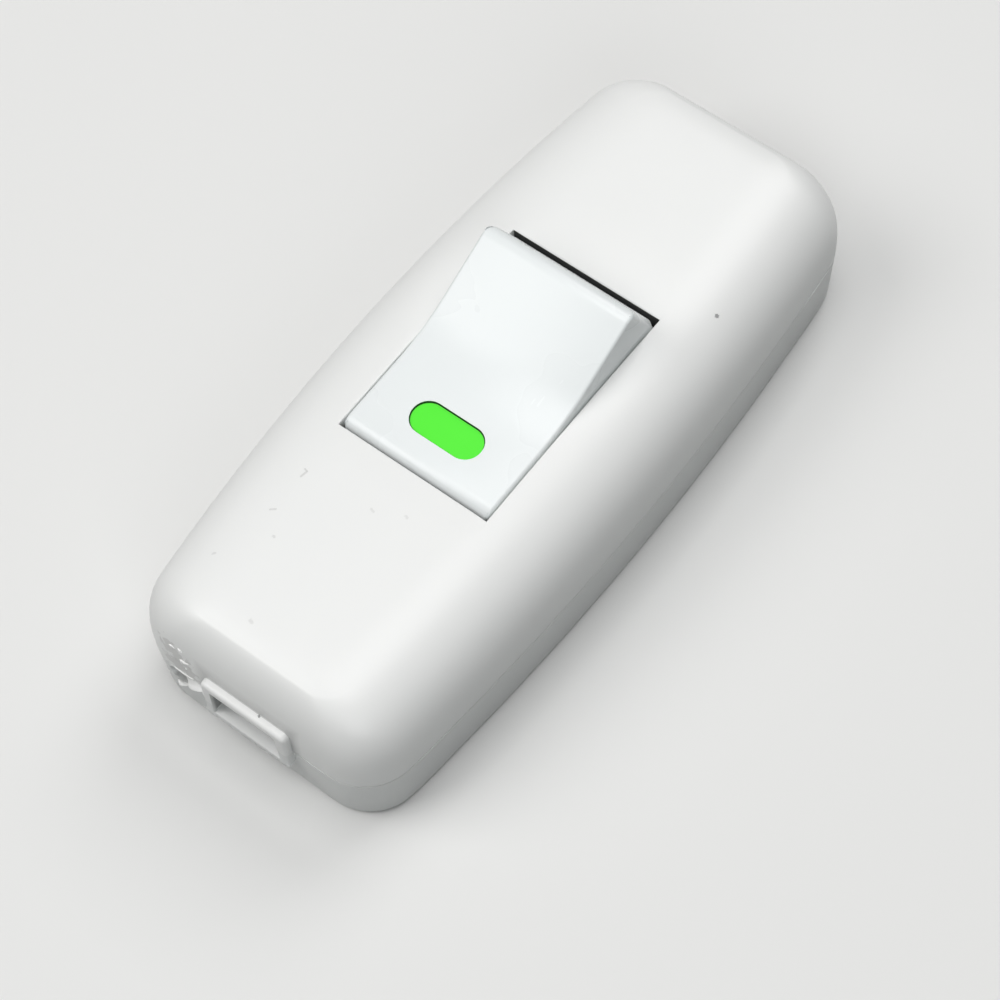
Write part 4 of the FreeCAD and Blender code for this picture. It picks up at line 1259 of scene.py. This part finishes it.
@dataclass
class LowerBase:
    """The lower casing shell with the broken place in its rim."""

    form: CasingForm = CasingForm()
    inlet: InletFrame = InletFrame()
    floor_top: float = 1.0
    least_angle: float = 60.0
    smooth_angle: float = 30.0

    def on_frame(self, first: Vector, second: Vector) -> bool:
        """Whether an edge lies on the outer face of an inlet frame, between the floor and the seam."""
        outside = min(abs(first.x), abs(second.x)) > (self.inlet.reach - CLOSE) * MM
        return outside and self.floor_top * MM < (first.z + second.z) / 2 < (self.form.seam - CLOSE) * MM

    def on_corner(self, first: Vector, second: Vector) -> bool:
        """Whether an edge is an upright outer corner of an inlet frame."""
        sideways = min(abs(first.y), abs(second.y))
        return self.on_frame(first, second) and sideways > (self.inlet.half - CLOSE) * MM

    def on_sill(self, first: Vector, second: Vector) -> bool:
        """Whether an edge of the outer face borders on the inlet."""
        sideways = max(abs(first.y), abs(second.y))
        return self.on_frame(first, second) and sideways < self.inlet.sill_half * MM

    def build(self, material: Material) -> Piece:
        """Dresses a merged copy of the base.

        Args:
            material: The base's plastic.

        Returns:
            The finished piece.
        """
        piece = merged_copy("lower_base", "base_tray")
        shape = self.inlet
        round_edges(piece, shape.edge * MM, shape.edge_steps, self.on_corner, self.least_angle)
        round_edges(piece, shape.sill_edge * MM, shape.sill_steps, self.on_sill, self.least_angle)
        smooth(piece, self.smooth_angle)
        hand_over(piece, "casing", "base_plastic", material, "lower_base")
        return piece


@dataclass
class Rocker:
    """The rocker and the green window in it."""

    rim_radius: float = 0.32
    rim_steps: int = 3
    tilt: float = 14.0
    rim_low: float = 4.0
    rim_inside: float = 8.0
    rim_angle: float = 38.0
    smooth_angle: float = 34.0
    lens_smooth_angle: float = 30.0

    def on_rim(self, first: Vector, second: Vector) -> bool:
        """Whether an edge lies high up and far out on the rocker, in its own level frame.

        Args:
            first: One end of the edge.
            second: Its other end.

        Returns:
            Whether both ends do.
        """
        lean = math.radians(self.tilt)
        heights = [(end.z / MM - PIVOT_HEIGHT) * math.cos(lean) - end.x / MM * math.sin(lean)
                   for end in (first, second)]
        return min(heights) > self.rim_low and min(abs(first.y), abs(second.y)) > self.rim_inside * MM

    def build(self, plastic: Material, green: Material) -> list[Piece]:
        """Dresses the rocker and its window.

        Args:
            plastic: The rocker's material.
            green: The window's material.

        Returns:
            The finished pieces.
        """
        rocker = merged_copy("rocker", "rocker_cap")
        round_edges(rocker, self.rim_radius * MM, self.rim_steps, self.on_rim, self.rim_angle)
        smooth(rocker, self.smooth_angle)
        hand_over(rocker, "rocker_assembly", "rocker_plastic", plastic, "rocker")
        window = merged_copy("indicator_window", "window_lens")
        smooth(window, self.lens_smooth_angle)
        hand_over(window, "rocker_assembly", "window_plastic", green, "indicator_window")
        return [rocker, window]


@dataclass
class Works:
    """What the casing holds: contacts, terminals, clamps, the plunger with its spring, and screws."""

    round_nodes: tuple[str, ...] = (
        "plunger", "plunger_spring", "moving_contact", "fixed_contact",
        "feed_terminal_screw", "load_terminal_screw", "neutral_inlet_screw", "neutral_outlet_screw",
        "inlet_clamp_screw_right", "inlet_clamp_screw_left",
        "outlet_clamp_screw_right", "outlet_clamp_screw_left",
        "housing_screw_front", "housing_screw_rear",
    )
    smooth_angle: float = 30.0

    def build(self, finishes: dict[str, Material]) -> None:
        """Dresses every inner piece by its slot, the round ones as smooth copies.

        Args:
            finishes: The materials by the record's slot names.
        """
        slots = {part["node"]: part["material_slot"] for part in frame["record"]["subparts"]}
        for body, nodes in frame["record"]["behaviour"]["bodies"].items():
            for node in nodes:
                finish = finishes[slots[node]]
                if node in self.round_nodes:
                    piece = merged_copy(node, f"{node}_turned")
                    smooth(piece, self.smooth_angle)
                    hand_over(piece, body, slots[node], finish, node)
                else:
                    for place in frame["nodes"][node].material_slots:
                        place.material = finish
                    log.info("%s: %s", node, slots[node])


# Studio


@dataclass(frozen=True)
class Lamp:
    """A soft lamp: its direction from the object in degrees, its power in watts and its colour."""

    name: str
    azimuth: float
    elevation: float
    power: float
    colour: Triple = (1.0, 1.0, 1.0)


@dataclass(frozen=True)
class Studio:
    """Floor, lamps and the camera at the photograph's viewpoint.

    Angles are in degrees. The camera's lengths and the floor's gap are in millimetres, the floor's
    size, the backdrop's reach and the lamps' distance and size in metres.
    """

    azimuth: float = -47.86
    elevation: float = 61.324
    roll: float = -5.185
    target: Point = (-1.159, -3.5187)
    distance: float = 302.503
    focal_share: float = 2.94684
    sensor_width: float = 36.0
    clip_start: float = 0.01
    floor_size: float = 6.0
    floor_gap: float = 0.02
    floor_colour: Triple = (0.80, 0.80, 0.79)
    floor_bounce: Triple = (0.30, 0.31, 0.305)
    floor_roughness: float = 0.7
    backdrop_reach: tuple[float, float] = (0.25, 0.90)
    backdrop_strength: float = 0.80
    lamp_distance: float = 0.8
    lamp_size: float = 0.45
    world_strength: float = 0.07
    world_colour: Triple = (0.97, 0.99, 1.0)
    mirrored_share: float = 0.4
    lamps: tuple[Lamp, ...] = (
        Lamp("ceiling_light", 0, 90, 2.30),
        Lamp("window_light", 135, 50, 2.40, (1.0, 0.995, 0.985)),
        Lamp("far_light", 0, 50, 2.05),
        Lamp("near_fill", 225, 34, 1.20, (0.97, 0.99, 1.0)),
    )

    def camera(self) -> None:
        """Places the camera."""
        azimuth, elevation, roll = map(math.radians, (self.azimuth, self.elevation, self.roll))
        back = Vector((math.sin(azimuth) * math.cos(elevation), -math.cos(azimuth) * math.cos(elevation),
                       math.sin(elevation)))
        right = Vector((math.cos(azimuth), math.sin(azimuth), 0))
        up = back.cross(right).normalized()
        rolled_right = math.cos(roll) * right + math.sin(roll) * up
        rolled_up = math.cos(roll) * up - math.sin(roll) * right
        place = Matrix((rolled_right, rolled_up, back)).transposed().to_4x4()
        place.translation = (self.target[0] * right + self.target[1] * up + self.distance * back) * MM
        data = bpy.data.cameras.new("photo_view")
        camera = bpy.data.objects.new("photo_view", data)
        bpy.context.scene.collection.objects.link(camera)
        camera.matrix_world = place
        data.sensor_width = self.sensor_width
        data.lens = self.focal_share * data.sensor_width
        data.clip_start = self.clip_start
        bpy.context.scene.camera = camera

    def floor_paper(self) -> Material:
        """A pale paper that passes into a pale backdrop and can be seen through from below.

        Returns:
            The new material.
        """
        material = bpy.data.materials.new("floor_paper")
        material.use_nodes = True
        canvas, links = Canvas(material.node_tree), material.node_tree.links
        shader = material.node_tree.nodes["Principled BSDF"]
        path = canvas.add("ShaderNodeLightPath")
        seen = canvas.math("MAXIMUM", path.outputs["Is Camera Ray"], path.outputs["Is Glossy Ray"])
        place = canvas.add("ShaderNodeTexCoord").outputs["Object"]
        reach = canvas.vector("DISTANCE", place, NOWHERE, "Value")
        start_reach, full_reach = self.backdrop_reach
        beyond = canvas.math("MULTIPLY", canvas.math("SUBTRACT", reach, start_reach),
                             1 / (full_reach - start_reach), True)
        lit = canvas.mix(beyond, self.floor_colour, (0.0, 0.0, 0.0))
        links.new(canvas.mix(seen, self.floor_bounce, lit), shader.inputs["Base Color"])
        links.new(canvas.math("MULTIPLY", seen, beyond), shader.inputs["Emission Strength"])
        shader.inputs["Emission Color"].default_value = (*self.floor_colour, 1.0)
        shader.inputs["Specular IOR Level"].default_value = 0.0
        shader.inputs["Roughness"].default_value = self.floor_roughness
        below = canvas.math("MULTIPLY", canvas.add("ShaderNodeNewGeometry").outputs["Backfacing"],
                            path.outputs["Is Camera Ray"])
        mixed = canvas.add("ShaderNodeMixShader", {"Fac": below})
        clear = canvas.add("ShaderNodeBsdfTransparent")
        canvas.feed(mixed.inputs[1:3], (shader.outputs["BSDF"], clear.outputs["BSDF"]))
        output = material.node_tree.nodes["Material Output"]
        links.new(mixed.outputs["Shader"], output.inputs["Surface"])
        return material

    def floor(self) -> None:
        """Lays the floor."""
        deselect_all()
        bpy.ops.mesh.primitive_plane_add(size=self.floor_size, location=(0, 0, -self.floor_gap * MM))
        floor = start(bpy.context.object, "floor")
        floor.data.materials.append(self.floor_paper())

    def hang(self, lamp: Lamp) -> None:
        """Hangs an area lamp so that it faces the object.

        Args:
            lamp: The lamp's place, power and colour.
        """
        data = bpy.data.lights.new(lamp.name, "AREA")
        data.size, data.energy, data.color = self.lamp_size, lamp.power, lamp.colour
        item = bpy.data.objects.new(lamp.name, data)
        bpy.context.scene.collection.objects.link(item)
        azimuth, elevation = math.radians(lamp.azimuth), math.radians(lamp.elevation)
        level = math.cos(elevation)
        item.location = self.lamp_distance * Vector((math.cos(azimuth) * level, math.sin(azimuth) * level,
                                                     math.sin(elevation)))
        item.rotation_euler = (-item.location).to_track_quat("-Z", "Y").to_euler()

    def build(self) -> None:
        """Sets up the whole studio."""
        self.camera()
        self.floor()
        for lamp in self.lamps:
            self.hang(lamp)
        world = bpy.data.worlds.new("room")
        bpy.context.scene.world = world
        world.use_nodes = True
        canvas = Canvas(world.node_tree)
        background = world.node_tree.nodes["Background"]
        path = canvas.add("ShaderNodeLightPath")
        seen = canvas.math("MAXIMUM", path.outputs["Is Camera Ray"],
                           canvas.math("MULTIPLY", path.outputs["Is Glossy Ray"], self.mirrored_share))
        backdrop = canvas.math("MULTIPLY", seen, self.backdrop_strength)
        strength = canvas.math("ADD", self.world_strength, backdrop)
        world.node_tree.links.new(strength, background.inputs["Strength"])
        background.inputs["Color"].default_value = (*self.world_colour, 1.0)
        bpy.context.scene.view_settings.view_transform = "Standard"


def make_finishes() -> dict[str, Material]:
    """Builds every material.

    Returns:
        The materials by the record's slot names.
    """
    shared = {"skin": moulded_skin_group(), "blemish": blemish_group(), "painted_shade": painted_shade_group(),
              "window_gap_shade": window_gap_shade_group()}
    plastics = {
        # Shade is painted on the cover and the base in boxes, and grey shade at the cover's torn corner
        "cover_plastic": MouldedPlastic("cover white", WARM_WHITE, WARM_WHITE_DEEP, marks=COVER_MARKS,
                                        painted_shades=COVER_PAINTED_SHADES),
        "base_plastic": MouldedPlastic("base white", (0.80, 0.81, 0.80), (0.77, 0.78, 0.77), roughness=0.42,
                                       painted_shades=BASE_PAINTED_SHADES),
        "torn_plastic": MouldedPlastic("torn white", TORN_WHITE, TORN_WHITE, roughness=0.5),
        # Shade is painted in the gap around the window, on the rocker and on the lens
        "rocker_plastic": MouldedPlastic("rocker white", COOL_WHITE, COOL_WHITE_DEEP, roughness=0.30,
                                         window_gap_shade=0.95),
        # The window's green is kept bright by a painted glow
        "window_plastic": MouldedPlastic("window green", (0.085, 0.83, 0.030), (0.075, 0.76, 0.026),
                                         roughness=0.30, painted_glow=0.12, window_gap_shade=0.9),
        "plunger_plastic": MouldedPlastic("plunger nylon", (0.72, 0.70, 0.62), (0.68, 0.66, 0.57),
                                          roughness=0.5),
        "clamp_plastic": MouldedPlastic("clamp plastic", (0.75, 0.76, 0.75), (0.71, 0.72, 0.71),
                                        roughness=0.48),
    }
    finishes = {slot: plastic.build(shared) for slot, plastic in plastics.items()}
    metals = {
        "spring_steel": WorkedMetal("spring wire", MetalKind.SPRING, (0.35, 0.34, 0.33)),
        "contact_copper": WorkedMetal("rolled copper", MetalKind.COPPER),
        "contact_silver": WorkedMetal("contact silver", MetalKind.SILVER, (0.45, 0.42, 0.38)),
        "terminal_brass": WorkedMetal("terminal brass", MetalKind.BRASS),
        "screw_steel": WorkedMetal("zinc plate", MetalKind.ZINC, (0.50, 0.49, 0.46)),
    }
    finishes.update({slot: metal.build() for slot, metal in metals.items()})
    return finishes


def main() -> None:
    """Builds the studio and every piece of the switch."""
    logging.basicConfig(level=logging.INFO, format="%(message)s")
    Studio().build()
    finishes = make_finishes()
    UpperCover().build(finishes["cover_plastic"])
    LowerBase().build(finishes["base_plastic"])
    TornPlaces().build(finishes["torn_plastic"])
    Rocker().build(finishes["rocker_plastic"], finishes["window_plastic"])
    Works().build(finishes)
    bpy.context.view_layer.update()


if __name__ == "__main__":
    main()
